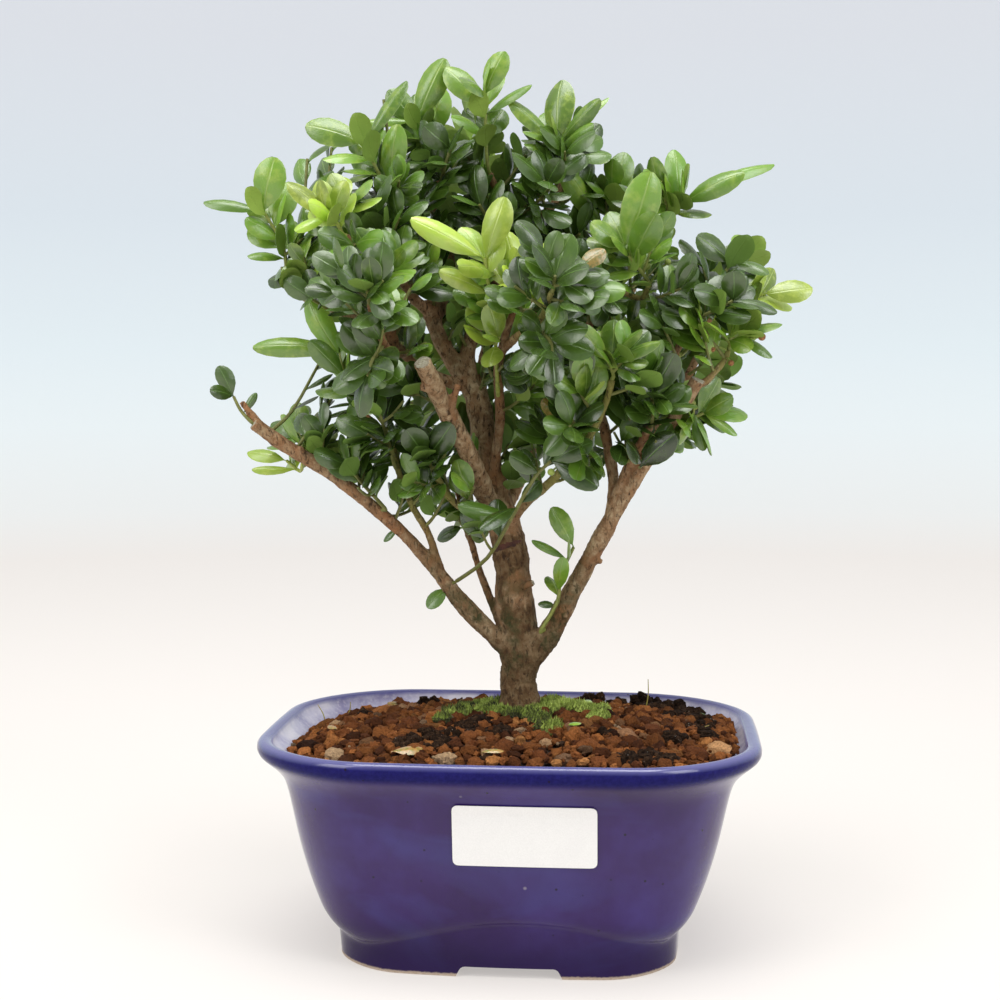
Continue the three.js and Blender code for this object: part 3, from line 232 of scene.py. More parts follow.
# Each shoot: name, limb, share of the limb's length, stem, ruled leaves, their length, age, and the
# placed leaves, each with its share of the stem, tip, width and roll in degrees.
SHOOTS = [
    ["west_top", "west_riser", 1, [[-69, -12, 214], [-74, -14, 223]], 2, 14, 0.45,
        [[1, -92, -16, 227, 5.5, 70], [1, -70, -18, 239, 10, 10], [0.75, -67, -10, 233, 8.5, 0],
         [0.4, -67, -4, 222, 7.5, 0], [0.3, -77, -22, 210, 4.5, 60]]],
    ["west_gold", "crown_left", 1, [[-49, -28, 218], [-51, -30, 220]], 2, 13, 0.9,
        [[1, -62, -34, 230, 6.5, 40], [0.8, -46, -33, 230, 6, 0], [0.7, -54, -42, 223, 6, 60],
         [1, -60, -36, 216, 4.5, 60]]],
    ["nw_top", "crown_nw", 1, [[-39, -6, 233], [-42, -8, 239], [-44, -8, 244]], 3, 14, 0.45,
        [[1, -62, -10, 250, 9, 30], [1, -32, -8, 263, 5.5, 40], [0.7, -55, -18, 239, 6, 60],
         [0.15, -34, -12, 249, 8, 0]]],
    ["top_left", "crown_top", 1, [[-28, 10, 246], [-31, 8, 253]], 3, 14, 0.45,
        [[1, -48, 4, 253, 4.5, 70], [1, -22, 6, 272, 9, -10], [0.55, -23, 15, 265, 9.5, 0]]],
    ["top_left_low", "crown_top", 0.8, [[-21, 0, 238], [-19, -2, 243]], 4, 14, 0.0,
        [[1, -26, -8, 249, 8, 20]]],
    ["top_mid", "crown_mid", 1, [[-9, 6, 247], [-9, 4, 260]], 2, 13, 0.45,
        [[0.85, -21, 4, 269, 8.5, 20], [1, -3, 2, 273, 7.5, 10], [1, -14, -12, 262, 7.5, 60],
         [0.75, 5, 0, 263, 4.5, 50], [0.45, -4, 10, 257, 8, 0], [0.45, -18, -4, 253, 5, 50]]],
    ["top_right", "crown_right", 1, [[13, 4, 245]], 2, 14, 0.45,
        [[1, 14, 6, 265, 10, 10], [0.9, -1, 2, 259, 6, 40], [1, 28, 6, 260, 4.5, 70],
         [0.9, 26, -4, 257, 5.5, 40], [0.6, 24, -4, 250, 5, 40]]],
    ["gold_right", "crown_east", 0.5, [[30, 14, 222], [30, 10, 232]], 4, 15, 0.45,
        [[1, 30, 4, 240, 8, 50], [0.5, 15, 0, 239, 8, 20]]],
    ["right_front", "fork_spur", 1, [[38, -20, 206], [34, -22, 211]], 3, 14, 0.45,
        [[1, 42, -28, 232, 11, -15], [0.7, 43, -36, 219, 9, 0], [1, 25, -28, 218, 7, 40]]],
    ["ne_top", "crown_east", 1, [[51, 0, 226]], 2, 15, 0.45,
        [[0.3, 42, -6, 239, 6.5, -40], [0.8, 49, 3, 243, 7.5, 0], [1, 69, -6, 235, 7.5, 20],
         [1, 79, 8, 240, 5, 70]]],
    ["east_upper", "east_front", 0.82, [[61, -4, 200], [66, -4, 208]], 4, 13, 0.0,
        [[1, 56, -8, 216, 8, 30], [1, 72, 0, 213, 5.5, 0], [1, 77, -8, 205, 5, 50]]],
    ["east_mid", "east_front", 1, [[60, -14, 193], [66, -16, 196]], 3, 13, 0.0,
        [[1, 66, -22, 204, 7.5, 0], [0.9, 55, -24, 199, 7, 20], [1, 79, -16, 193, 4.5, 60],
         [0.5, 70, -26, 191, 5.5, 40]]],
    ["far_east", "east_front", 0.66, [[68, 4, 196], [76, 4, 199]], 4, 14, 0.9,
        [[1, 91, 4, 201, 8, 20], [1, 88, 0, 197, 5, 60]]],
    ["front_gold", "brown_riser", 1, [[4, -26, 201]], 3, 13, 0.9,
        [[1, 4, -38, 209, 9, 50], [0.9, 14, -32, 212, 6, 20], [0.8, 0, -26, 216, 7.5, 0],
         [0.3, 16, -38, 196, 5, 40]]],
    ["front_gold_left", "brown_riser", 0.5, [[-4, -20, 191], [-5, -26, 200], [-6, -28, 208]], 3, 13, 0.9,
        [[1, -26, -36, 219, 7, 25], [1, 0, -32, 225, 8.5, 0], [0.9, -11, -44, 205, 6, 50],
         [0.75, -18, -34, 204, 5.5, 40]]],
    ["left_fork", "left_riser", 1, [[-34, -28, 205]], 4, 13, 0.45,
        [[1, -44, -38, 208, 5, 50], [1, -29, -34, 210, 4.5, 10], [0.6, -40, -28, 217, 7.5, 0]]],
    ["left_bright", "green_west", 1, [[-42, -20, 166], [-48, -22, 173], [-50, -20, 181]], 3, 14, 0.45,
        [[1, -75, -26, 183, 6.5, 30], [0.97, -60, -20, 198, 8, 0], [0.75, -57, -30, 184, 6.5, 20]]],
    ["left_dark", "green_west", 0.85, [[-37, -26, 162], [-41, -28, 168]], 4, 13, 0.0,
        [[1, -45, -30, 180, 8, 0], [1, -56, -34, 169, 5, 50]]],
    ["left_low", "left_limb", 0.56, [[-44, -14, 141], [-48, -18, 147]], 5, 13, 0.0,
        [[1, -57, -24, 152, 6, 40]]],
    ["stub_west", "left_limb", 1, [[-80, -22, 164], [-82, -22, 168]], 0, 10, 0.0,
        [[1, -86, -24, 177, 5.5, 0], [1, -87, -28, 170, 4.5, 50], [0.4, -75, -22, 169, 2.5, 0]]],
    ["limb_under", "left_limb", 0.82, [[-65, -8, 145], [-70, -4, 148]], 1, 13, 0.9,
        [[1, -83, -2, 151, 5, 40], [0.6, -79, -12, 146, 3.5, 70]]],
    ["limb_back", "left_limb", 0.84, [[-65, -4, 154], [-67, -2, 157]], 3, 13, 0.45,
        [[1, -67, -2, 166, 7, 10]]],
    ["centre_left", "left_twig", 1, [[-24, -20, 150]], 5, 13, 0.0,
        [[1, -29, -28, 158, 8, 0], [1, -16, -26, 160, 8, 0]]],
    ["stub_side", "cut_stub", 0.72, [[-25, -20, 168], [-29, -22, 171]], 5, 13, 0.0,
        [[1, -39, -26, 171, 7, 40]]],
    ["trunk_cross", "left_limb", 0.26,
     [[-7, -10, 119], [1, -16, 132], [8, -20, 144], [13, -22, 149]], 2, 13, 0.0,
        [[1, 27, -26, 142, 7.5, 20], [1, 25, -26, 155, 7, 20], [0.9, 2, -30, 151, 6, 50],
         [0.6, -14, -24, 136, 5.5, 50], [0.66, -7, -30, 130, 5, 50]]],
    ["limb_low", "right_limb", 0.12, [[14, -3, 105], [15, -4, 113], [19, -5, 122]], 2, 10, 0.45,
        [[1, 12, -4, 134, 6.5, 0], [0.85, 6, -2, 124, 3, 50], [0.5, 16, -10, 119, 5, 10]]],
    ["slender_top", "slender_riser", 1, [[30, -30, 178]], 2, 14, 0.45,
        [[1, 22, -38, 188, 5.5, 10], [1, 39, -38, 187, 3.5, 30], [0.8, 18, -42, 182, 5.5, 40],
         [0.8, 44, -38, 184, 4.5, 40]]],
    ["slender_mid", "slender_riser", 0.62, [[20, -26, 160], [17, -28, 164]], 5, 14, 0.0,
        [[0.4, 14, -32, 151, 6, 0]]],
    ["right_green", "right_snag", 0.5, [[36, -16, 158], [36, -18, 163]], 5, 12, 0.0, []],
    ["right_big", "right_snag", 1, [[43, -22, 166], [43, -24, 169]], 4, 13, 0.0,
        [[1, 49, -30, 180, 9, 0], [0.9, 47, -36, 164, 4.5, 20]]],
    ["right_low", "right_limb", 0.72, [[39, -16, 147]], 1, 12, 0.0, [[1, 49, -22, 157, 8.5, 0]]],
    ["right_drop", "right_limb", 0.93, [[55, -8, 162], [58, -8, 163]], 4, 13, 0.45,
        [[1, 68, -12, 157, 4, 50], [1, 66, -14, 168, 6.5, 20], [0.5, 58, -12, 152, 4.5, 30]]],
    ["right_end", "right_tip", 1, [[65, -12, 185], [68, -12, 186]], 4, 13, 0.45,
        [[1, 78, -14, 180, 4.5, 50], [0.4, 71, -20, 182, 6, 20]]],
    ["bough_top", "front_bough", 1, [[16, -56, 201]], 5, 13, 0.0, []],
    ["bough_mid", "front_bough", 0.62, [[14, -46, 184], [15, -52, 180]], 5, 13, 0.0, []],
    ["fore_left", "front_left", 1, [[-36, -54, 198]], 5, 13, 0.0, []],
    ["fore_left_low", "front_left", 0.55, [[-36, -44, 179], [-37, -48, 174]], 5, 13, 0.0, []],
    ["back_left_end", "back_left", 1, [[-62, 62, 214], [-67, 62, 220]], 6, 14, 0.45, []],
    ["back_left_mid", "back_left", 0.62, [[-48, 64, 190], [-56, 68, 186]], 5, 13, 0.0, []],
    ["back_mid_end", "back_mid", 1, [[-17, 56, 246], [-19, 54, 252]], 6, 14, 0.45, []],
    ["back_mid_side", "back_mid", 0.6, [[-3, 62, 211], [6, 66, 218]], 5, 13, 0.0, []],
    ["back_right_end", "back_right", 1, [[40, 62, 212], [42, 60, 219]], 6, 14, 0.45, []],
    ["back_right_mid", "back_right", 0.6, [[11, 66, 184], [4, 70, 187]], 5, 13, 0.0, []],
    ["bough_east_end", "east_bough", 1, [[65, 42, 206], [70, 44, 210]], 6, 14, 0.45, []],
    ["bough_east_mid", "east_bough", 0.6, [[60, 44, 171], [66, 50, 173]], 5, 13, 0.0, []],
    ["crown_left_mid", "crown_left", 0.62, [[-39, -14, 216], [-41, -16, 222]], 4, 13, 0.0, []],
    ["crown_mid_low", "crown_mid", 0.45, [[-7, 2, 220], [-10, -4, 226]], 5, 13, 0.0, []],
    ["crown_right_mid", "crown_right", 0.45, [[11, -4, 230], [10, -10, 232]], 5, 13, 0.0, []],
    ["crown_east_low", "crown_east", 0.28, [[14, 14, 214], [20, 8, 218]], 5, 13, 0.0, []],
]
LABEL_LEFT = -13.0
LABEL_RIGHT = 28.0
LABEL_BOTTOM = 35.5
LABEL_TOP = 53.5
LABEL_CORNER = 1.6
LABEL_GAP = 0.42
LABEL_THICKNESS = 0.16
# Height and inset from the rim of the wall's two faces.
WALL_INSIDE = [[10, 31], [13, 26], [21, 21], [32, 17.6], [46, 15.4], [58, 11.4], [63, 5.6], [65.4, 4.4]]
WALL_OUTSIDE = [[24, 15.4], [36, 12.4], [51, 9.2], [55.5, 7.2], [58.2, 4.6]]


# Selecting, joining and finishing.
def select_only(*pieces):
    if bpy.context.object and bpy.context.object.mode != "OBJECT":
        bpy.ops.object.mode_set(mode="OBJECT")
    bpy.ops.object.select_all(action="DESELECT")
    for piece in pieces:
        piece.select_set(True)
    bpy.context.view_layer.objects.active = pieces[0]


def join(parts, name):
    select_only(*parts)
    if len(parts) > 1:
        bpy.ops.object.join()
    whole = bpy.context.object
    whole.name = name
    whole.data.name = name
    return whole


def points_of(piece):
    spots = np.empty(len(piece.data.vertices) * 3)
    piece.data.vertices.foreach_get("co", spots)
    return spots.reshape(-1, 3)


def move_points(piece, spots):
    piece.data.vertices.foreach_set("co", np.asarray(spots, float).ravel())
    piece.data.update()


def add_shape(operator, **settings):
    """Adds a primitive mesh with one of Blender's operators."""
    bpy.ops.object.select_all(action="DESELECT")
    operator(**settings)
    return bpy.context.object


def smooth(piece, degrees):
    select_only(piece)
    bpy.ops.object.shade_smooth_by_angle(angle=math.radians(degrees))


def outward(piece):
    select_only(piece)
    bpy.ops.object.mode_set(mode="EDIT")
    bpy.ops.mesh.select_all(action="SELECT")
    bpy.ops.mesh.remove_doubles(threshold=0.00001)
    bpy.ops.mesh.normals_make_consistent(inside=False)
    bpy.ops.object.mode_set(mode="OBJECT")


def dress(piece, *materials):
    piece.data.materials.clear()
    for material in materials:
        piece.data.materials.append(material)


def hand_over(piece, slot, *nodes):
    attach(piece, "root")
    if nodes:
        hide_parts(*nodes)


# Materials.
def start_material(name):
    material = bpy.data.materials.new(name)
    material.use_nodes = True
    tree = material.node_tree
    tree.nodes.clear()
    output = tree.nodes.new("ShaderNodeOutputMaterial")
    shader = tree.nodes.new("ShaderNodeBsdfPrincipled")
    tree.links.new(shader.outputs[0], output.inputs[0])
    return material, tree, shader


def add_node(tree, kind, **settings):
    made = tree.nodes.new(kind)
    for key, value in settings.items():
        setattr(made, key, value)
    return made


def wire(tree, source, target):
    tree.links.new(source, target)


def modify(piece, kind, **settings):
    """Adds a modifier with its settings and applies it."""
    modifier = piece.modifiers.new(kind.lower(), kind)
    for key, value in settings.items():
        setattr(modifier, key, value)
    select_only(piece)
    bpy.ops.object.modifier_apply(modifier=modifier.name)


def finish_piece(piece, degrees, look, slot, *nodes):
    """Shades, dresses and hands over a piece that has one material."""
    smooth(piece, degrees)
    dress(piece, look)
    hand_over(piece, slot, *nodes)


def colour_ramp(tree, factor, stops):
    ramp = add_node(tree, "ShaderNodeValToRGB")
    while len(ramp.color_ramp.elements) < len(stops):
        ramp.color_ramp.elements.new(0.5)
    for element, (place, colour) in zip(ramp.color_ramp.elements, stops):
        element.position = place
        element.color = (*colour, 1)
    wire(tree, factor, ramp.inputs[0])
    return ramp.outputs[0]


def noise_field(tree, scale, detail, roughness, distortion, stretch):
    """A cloudy field in the piece's own space, drawn out or pressed along its axes."""
    turn = add_node(tree, "ShaderNodeMapping")
    turn.inputs["Scale"].default_value = stretch
    wire(tree, object_place(tree), turn.inputs[0])
    field = add_node(tree, "ShaderNodeTexNoise")
    values = {"Scale": scale, "Detail": detail, "Roughness": roughness, "Distortion": distortion}
    for name, value in values.items():
        field.inputs[name].default_value = value
    wire(tree, turn.outputs[0], field.inputs["Vector"])
    return field.outputs["Fac"]


def cell_field(tree, scale):
    """Distance from the nearest of many scattered points."""
    field = add_node(tree, "ShaderNodeTexVoronoi")
    field.inputs["Scale"].default_value = scale
    wire(tree, object_place(tree), field.inputs["Vector"])
    return field.outputs["Distance"]


def feed(tree, socket, value):
    """Wires a socket to another node's output, or sets its colour or number."""
    if isinstance(value, bpy.types.NodeSocket):
        wire(tree, value, socket)
    elif isinstance(value, tuple):
        socket.default_value = (*value, 1)
    else:
        socket.default_value = value


def blend_colours(tree, factor, first, second, kind="MIX"):
    mix = add_node(tree, "ShaderNodeMix", data_type="RGBA", blend_type=kind, clamp_factor=True)
    for socket, value in ((mix.inputs[0], factor), (mix.inputs[6], first), (mix.inputs[7], second)):
        feed(tree, socket, value)
    return mix.outputs[2]


def calc(tree, operation, *values):
    step = add_node(tree, "ShaderNodeMath", operation=operation)
    for socket, value in zip(step.inputs, values):
        feed(tree, socket, value)
    return step.outputs[0]


def spread(tree, value, low, high, to_low=0.0, to_high=1.0):
    step = add_node(tree, "ShaderNodeMapRange", clamp=True)
    wire(tree, value, step.inputs[0])
    for socket, number in zip(step.inputs[1:5], (low, high, to_low, to_high)):
        socket.default_value = number
    return step.outputs[0]


def object_place(tree):
    return add_node(tree, "ShaderNodeTexCoord").outputs["Object"]


def mottle_group():
    """Cloudy light and dark patches with small specks, shared by the glaze, soil and bark."""
    group = bpy.data.node_groups.new("mottle", "ShaderNodeTree")
    face = group.interface
    face.new_socket("Place", in_out="INPUT", socket_type="NodeSocketVector")
    for name, value in (("Cloud Scale", 40.0), ("Speck Scale", 400.0)):
        face.new_socket(name, in_out="INPUT", socket_type="NodeSocketFloat").default_value = value
    for name in ("Cloud", "Fine", "Speck"):
        face.new_socket(name, in_out="OUTPUT", socket_type="NodeSocketFloat")
    into = group.nodes.new("NodeGroupInput")
    out = group.nodes.new("NodeGroupOutput")
    cloud = add_node(group, "ShaderNodeTexNoise")
    cloud.inputs["Detail"].default_value = 4
    cloud.inputs["Roughness"].default_value = 0.6
    fine = add_node(group, "ShaderNodeTexNoise")
    fine.inputs["Detail"].default_value = 5
    fine.inputs["Roughness"].default_value = 0.65
    cells = add_node(group, "ShaderNodeTexVoronoi")
    cells.inputs["Randomness"].default_value = 1.0
    for field, scale in ((cloud, "Cloud Scale"), (fine, "Speck Scale"), (cells, "Speck Scale")):
        wire(group, into.outputs["Place"], field.inputs["Vector"])
        wire(group, into.outputs[scale], field.inputs["Scale"])
    wire(group, cloud.outputs["Fac"], out.inputs["Cloud"])
    wire(group, fine.outputs["Fac"], out.inputs["Fine"])
    wire(group, spread(group, cells.outputs["Distance"], 0.04, 0.16, 1.0, 0.0), out.inputs["Speck"])
    return group


MOTTLE = mottle_group()


def times(tree, first, second):
    return calc(tree, "MULTIPLY", first, second)


def plus(tree, first, second):
    return calc(tree, "ADD", first, second)


def minus(tree, first, second):
    return calc(tree, "SUBTRACT", first, second)


def shade_by(tree, colour, mask, low, dark, high, light):
    """A colour multiplied by a grey that goes from dark to light as the mask goes from low to high."""
    grey = colour_ramp(tree, mask, ((low, (dark,) * 3), (high, (light,) * 3)))
    return blend_colours(tree, 1.0, colour, grey, "MULTIPLY")


def coat(tree, shader, colour, roughness, relief, gloss=0.5):
    """Gives a shader its colour, roughness and gloss, and a relief: height, depth in metres, strength."""
    feed(tree, shader.inputs["Base Color"], colour)
    feed(tree, shader.inputs["Roughness"], roughness)
    shader.inputs["Specular IOR Level"].default_value = gloss
    height, depth, strength = relief
    bump = add_node(tree, "ShaderNodeBump")
    bump.inputs["Strength"].default_value = strength
    bump.inputs["Distance"].default_value = depth
    wire(tree, height, bump.inputs["Height"])
    wire(tree, bump.outputs[0], shader.inputs["Normal"])


def mottle(tree, cloud_scale, speck_scale):
    group = add_node(tree, "ShaderNodeGroup", node_tree=MOTTLE)
    wire(tree, object_place(tree), group.inputs["Place"])
    group.inputs["Cloud Scale"].default_value = cloud_scale
    group.inputs["Speck Scale"].default_value = speck_scale
    return group.outputs["Cloud"], group.outputs["Fine"], group.outputs["Speck"]


def axes_of(tree):
    """The three axes of a place on the piece."""
    parts = add_node(tree, "ShaderNodeSeparateXYZ")
    wire(tree, object_place(tree), parts.inputs[0])
    return parts.outputs


def height_of(tree):
    return axes_of(tree)[2]


def glaze_rim(tree, fine, height):
    """Navy on the lip's face, with a painted highlight that makes it paler along its top edge."""
    rim = blend_colours(tree, spread(tree, fine, 0.35, 0.7, 0.0, 0.5),
                        (0.006, 0.005, 0.078), (0.018, 0.016, 0.155))
    # Painted highlight: the lip's top edge is blended towards a pale blue.
    return blend_colours(tree, spread(tree, height, 0.0640, 0.0656, 0.0, 0.55), rim, (0.17, 0.17, 0.40))


def glaze_gloss(tree, height):
    """More gloss up the body, little on the lip's face, most on its top edge."""
    gloss = spread(tree, height, 0.004, 0.035, 0.18, 0.42)
    gloss = minus(tree, gloss, spread(tree, height, 0.0588, 0.0604, 0.0, 0.32))
    return plus(tree, gloss, spread(tree, height, 0.0638, 0.0652, 0.0, 0.65))


def dots(tree, scale, reach, edge, where):
    """A mask of small round dots, kept where another mask allows them."""
    return times(tree, spread(tree, cell_field(tree, scale), reach, edge, 1.0, 0.0), where)


def glaze_material():
    """Deep blue glass over clay: navy on the lip, cloudy on the body, darker near the foot with painted
    shade, bare at the foot's edge.
    """
    material, tree, shader = start_material("blue_glaze")
    cloud, fine, speck = mottle(tree, 26, 900)
    streaks = noise_field(tree, 24, 3, 0.55, 1.6, (0.5, 0.5, 1.4))
    height = height_of(tree)
    body = colour_ramp(tree, cloud, (
        (0.30, (0.024, 0.008, 0.064)), (0.52, (0.033, 0.012, 0.096)), (0.72, (0.046, 0.026, 0.155))))
    body = blend_colours(tree, spread(tree, streaks, 0.50, 0.70, 0.0, 0.5), body, (0.050, 0.050, 0.215))
    # Painted shade: the body turns a darker navy towards the foot.
    body = blend_colours(tree, spread(tree, height, 0.006, 0.018, 0.7, 0.0), body, (0.012, 0.005, 0.040))
    colour = blend_colours(tree, spread(tree, height, 0.0590, 0.0612), body, glaze_rim(tree, fine, height))
    colour = blend_colours(tree, times(tree, speck, 0.35), colour, (0.012, 0.008, 0.03))
    chips = dots(tree, 80, 0.04, 0.07, spread(tree, streaks, 0.51, 0.55))
    pinholes = dots(tree, 190, 0.05, 0.09, spread(tree, cloud, 0.50, 0.54))
    colour = blend_colours(tree, pinholes, colour, (0.010, 0.006, 0.020))
    colour = blend_colours(tree, chips, colour, (0.26, 0.23, 0.29))
    bare = spread(tree, plus(tree, height, times(tree, fine, 0.0012)), 0.0011, 0.0016, 1.0, 0.0)
    clay = colour_ramp(tree, fine, ((0.3, (0.33, 0.25, 0.19)), (0.7, (0.52, 0.42, 0.33))))
    ripple = plus(tree, times(tree, cloud, 0.6), times(tree, fine, 0.12))
    pits = minus(tree, ripple, times(tree, speck, 0.10))
    pits = minus(tree, pits, times(tree, chips, 0.25))
    coat(tree, shader, blend_colours(tree, bare, colour, clay),
         spread(tree, bare, 0.0, 1.0, 0.055, 0.8), (pits, 0.0009, 0.35), 0.42)
    wire(tree, glaze_gloss(tree, height), shader.inputs["Specular IOR Level"])
    return material


def inner_glaze_material():
    """Thin milky glaze inside the lip."""
    material, tree, shader = start_material("inner_glaze")
    cloud, fine, _ = mottle(tree, 60, 700)
    colour = colour_ramp(tree, cloud, (
        (0.35, (0.26, 0.24, 0.42)), (0.50, (0.44, 0.42, 0.58)), (0.65, (0.66, 0.63, 0.72))))
    colour = blend_colours(tree, spread(tree, fine, 0.5, 0.75, 0.0, 0.6), colour, (0.70, 0.67, 0.74))
    colour = blend_colours(tree, spread(tree, height_of(tree), 0.0642, 0.0655), colour, (0.07, 0.07, 0.28))
    coat(tree, shader, colour, 0.2, (fine, 0.0003, 0.4))
    return material


def plain_grained(name, dark, light, roughness, scale, depth):
    material, tree, shader = start_material(name)
    cloud, fine, _ = mottle(tree, scale / 6, scale)
    both = plus(tree, times(tree, cloud, 0.5), times(tree, fine, 0.5))
    colour = colour_ramp(tree, both, ((0.36, dark), (0.64, light)))
    coat(tree, shader, colour, roughness, (fine, depth, 0.7))
    return material


def tinted(tree):
    """The piece's own tint attribute, as its three parts."""
    tint = add_node(tree, "ShaderNodeAttribute", attribute_name="tint")
    parts = add_node(tree, "ShaderNodeSeparateColor")
    wire(tree, tint.outputs["Color"], parts.inputs[0])
    return parts.outputs[:3]


def clay_material():
    """Fired clay crumbs: each has its own warmth, shade and paleness from its tint."""
    material, tree, shader = start_material("fired_clay")
    warmth, shade, pale = tinted(tree)
    _, fine, speck = mottle(tree, 200, 1500)
    colour = colour_ramp(tree, warmth, ((0.0, (0.060, 0.022, 0.011)), (0.3, (0.190, 0.062, 0.021)),
                                        (0.65, (0.42, 0.150, 0.043)), (1.0, (0.60, 0.27, 0.090))))
    colour = blend_colours(tree, pale, colour, (0.50, 0.36, 0.22))
    colour = shade_by(tree, colour, fine, 0.3, 0.55, 0.7, 1.35)
    colour = blend_colours(tree, times(tree, speck, 0.5), colour, (0.03, 0.014, 0.008))
    colour = shade_by(tree, colour, shade, 0.0, 0.38, 1.0, 1.02)
    coat(tree, shader, colour, 0.95, (fine, 0.0013, 1.0), 0.12)
    return material


def mouldy(tree, colour, cloud, speck, plates):
    """Dark green mould low on the trunk, with pale green specks."""
    height = height_of(tree)
    low = spread(tree, height, 0.100, 0.128, 1.0, 0.0)
    over = spread(tree, height, 0.070, 0.084)
    mould = times(tree, times(tree, low, over), spread(tree, cloud, 0.44, 0.56, 0.15, 1.0))
    mould = times(tree, mould, spread(tree, plates, 0.36, 0.56, 0.25, 1.0))
    colour = blend_colours(tree, times(tree, mould, 0.9), colour, (0.040, 0.045, 0.014))
    return blend_colours(tree, times(tree, times(tree, low, speck), 0.5), colour, (0.20, 0.23, 0.08))


def bark_material():
    """Tan plates with dark cracks: darker on the trunk, red-brown where thin, green on young limbs."""
    material, tree, shader = start_material("bark")
    girth, young, stout = tinted(tree)
    cloud, fine, speck = mottle(tree, 110, 1300)
    furrows = noise_field(tree, 900, 4, 0.62, 0.5, (1, 1, 0.4))
    plates = noise_field(tree, 420, 4, 0.62, 0.4, (1, 1, 0.8))
    colour = colour_ramp(tree, plates, (
        (0.30, (0.160, 0.090, 0.044)), (0.48, (0.345, 0.228, 0.124)), (0.66, (0.54, 0.41, 0.25))))
    reddish = times(tree, minus(tree, 1.0, girth), spread(tree, cloud, 0.36, 0.60, 0.30, 0.9))
    colour = blend_colours(tree, reddish, colour, (0.30, 0.135, 0.058))
    colour = blend_colours(tree, spread(tree, cloud, 0.52, 0.66, 0.0, 0.5), colour, (0.38, 0.19, 0.085))
    old = blend_colours(tree, 1.0, colour, (0.46, 0.39, 0.33), "MULTIPLY")
    colour = blend_colours(tree, stout, colour, old)
    colour = blend_colours(tree, times(tree, young, 0.85), colour, (0.235, 0.240, 0.062))
    cracks = spread(tree, furrows, 0.47, 0.34, 0.0, 0.85)
    colour = blend_colours(tree, cracks, colour, (0.040, 0.022, 0.012))
    pale = times(tree, spread(tree, fine, 0.60, 0.72, 0.0, 0.5), spread(tree, stout, 0.0, 1.0, 1.0, 0.4))
    colour = blend_colours(tree, pale, colour, (0.60, 0.50, 0.35))
    colour = mouldy(tree, colour, cloud, speck, plates)
    relief = plus(tree, times(tree, furrows, 0.6), times(tree, fine, 0.4))
    coat(tree, shader, colour, 0.88, (relief, 0.0011, 1.0), 0.25)
    return material


def blade_seat(tree):
    """Whether a place is on a leaf's underside, and how far it is from the midrib, 1 at the rim."""
    seat = add_node(tree, "ShaderNodeUVMap", uv_map="blade")
    parts = add_node(tree, "ShaderNodeSeparateXYZ")
    wire(tree, seat.outputs[0], parts.inputs[0])
    under = calc(tree, "GREATER_THAN", parts.outputs[0], 1.5)
    local = minus(tree, parts.outputs[0], times(tree, under, 2.0))
    return under, calc(tree, "ABSOLUTE", minus(tree, times(tree, local, 2.0), 1.0))


def leaf_material():
    """Blade colour by the leaf's own age and a shade that is partly its own tone and partly painted light
    and shade, with a fine pale midrib, rim and patches.
    """
    material, tree, shader = start_material("leaf")
    age, shade, wear = tinted(tree)
    under, off_rib = blade_seat(tree)
    cloud, fine, _ = mottle(tree, 260, 1200)
    face = colour_ramp(tree, age, ((0.0, (0.037, 0.074, 0.009)), (0.35, (0.098, 0.205, 0.018)),
                                   (0.62, (0.17, 0.31, 0.027)), (1.0, (0.35, 0.47, 0.055))))
    # Partly painted light and shade: the shade factor makes whole leaves lighter or darker, as if lit or
    # shaded, besides their own tone.
    face = shade_by(tree, face, shade, 0.0, 0.5, 1.0, 1.7)
    lighter = blend_colours(tree, age, (0.12, 0.24, 0.026), (0.54, 0.64, 0.11))
    patches = times(tree, spread(tree, cloud, 0.48, 0.66), spread(tree, age, 0.0, 0.5, 0.12, 0.55))
    face = blend_colours(tree, patches, face, lighter)
    rib = spread(tree, off_rib, 0.015, 0.075, 1.0, 0.0)
    rim = spread(tree, off_rib, 0.93, 0.985)
    pale = blend_colours(tree, age, (0.12, 0.24, 0.040), (0.52, 0.63, 0.17))
    face = blend_colours(tree, times(tree, rib, 0.6), face, pale)
    face = blend_colours(tree, times(tree, rim, 0.5), face, pale)
    back = blend_colours(tree, age, (0.150, 0.265, 0.050), (0.42, 0.55, 0.10))
    colour = blend_colours(tree, under, face, back)
    brown = times(tree, wear, spread(tree, fine, 0.30, 0.55))
    colour = blend_colours(tree, brown, colour, (0.42, 0.235, 0.065))
    relief = plus(tree, times(tree, cloud, 0.6), times(tree, fine, 0.25))
    relief = minus(tree, relief, times(tree, rib, 0.3))
    coat(tree, shader, colour, spread(tree, under, 0.0, 1.0, 0.27, 0.5), (relief, 0.0004, 0.6), 0.7)
    wire(tree, spread(tree, under, 0.0, 1.0, 0.95, 0.3), shader.inputs["Specular IOR Level"])
    return material


def stem_material():
    material, tree, shader = start_material("young_stem")
    age = tinted(tree)[0]
    _, fine, _ = mottle(tree, 150, 900)
    colour = colour_ramp(tree, age, (
        (0.0, (0.115, 0.095, 0.035)), (0.5, (0.20, 0.22, 0.050)), (1.0, (0.36, 0.42, 0.080))))
    colour = shade_by(tree, colour, fine, 0.3, 0.7, 0.7, 1.3)
    coat(tree, shader, colour, 0.55, (fine, 0.0003, 0.6))
    return material


def berry_material():
    """Green berries; the third part of the tint turns one into a dry brown flower cup."""
    material, tree, shader = start_material("berry")
    age, _, dry = tinted(tree)
    _, fine, _ = mottle(tree, 200, 1600)
    colour = colour_ramp(tree, age, ((0.0, (0.09, 0.15, 0.03)), (1.0, (0.42, 0.52, 0.10))))
    brown = colour_ramp(tree, fine, ((0.35, (0.16, 0.06, 0.025)), (0.65, (0.46, 0.22, 0.08))))
    coat(tree, shader, blend_colours(tree, dry, colour, brown),
         spread(tree, dry, 0.0, 1.0, 0.35, 0.9), (fine, 0.0006, 0.8))
    return material


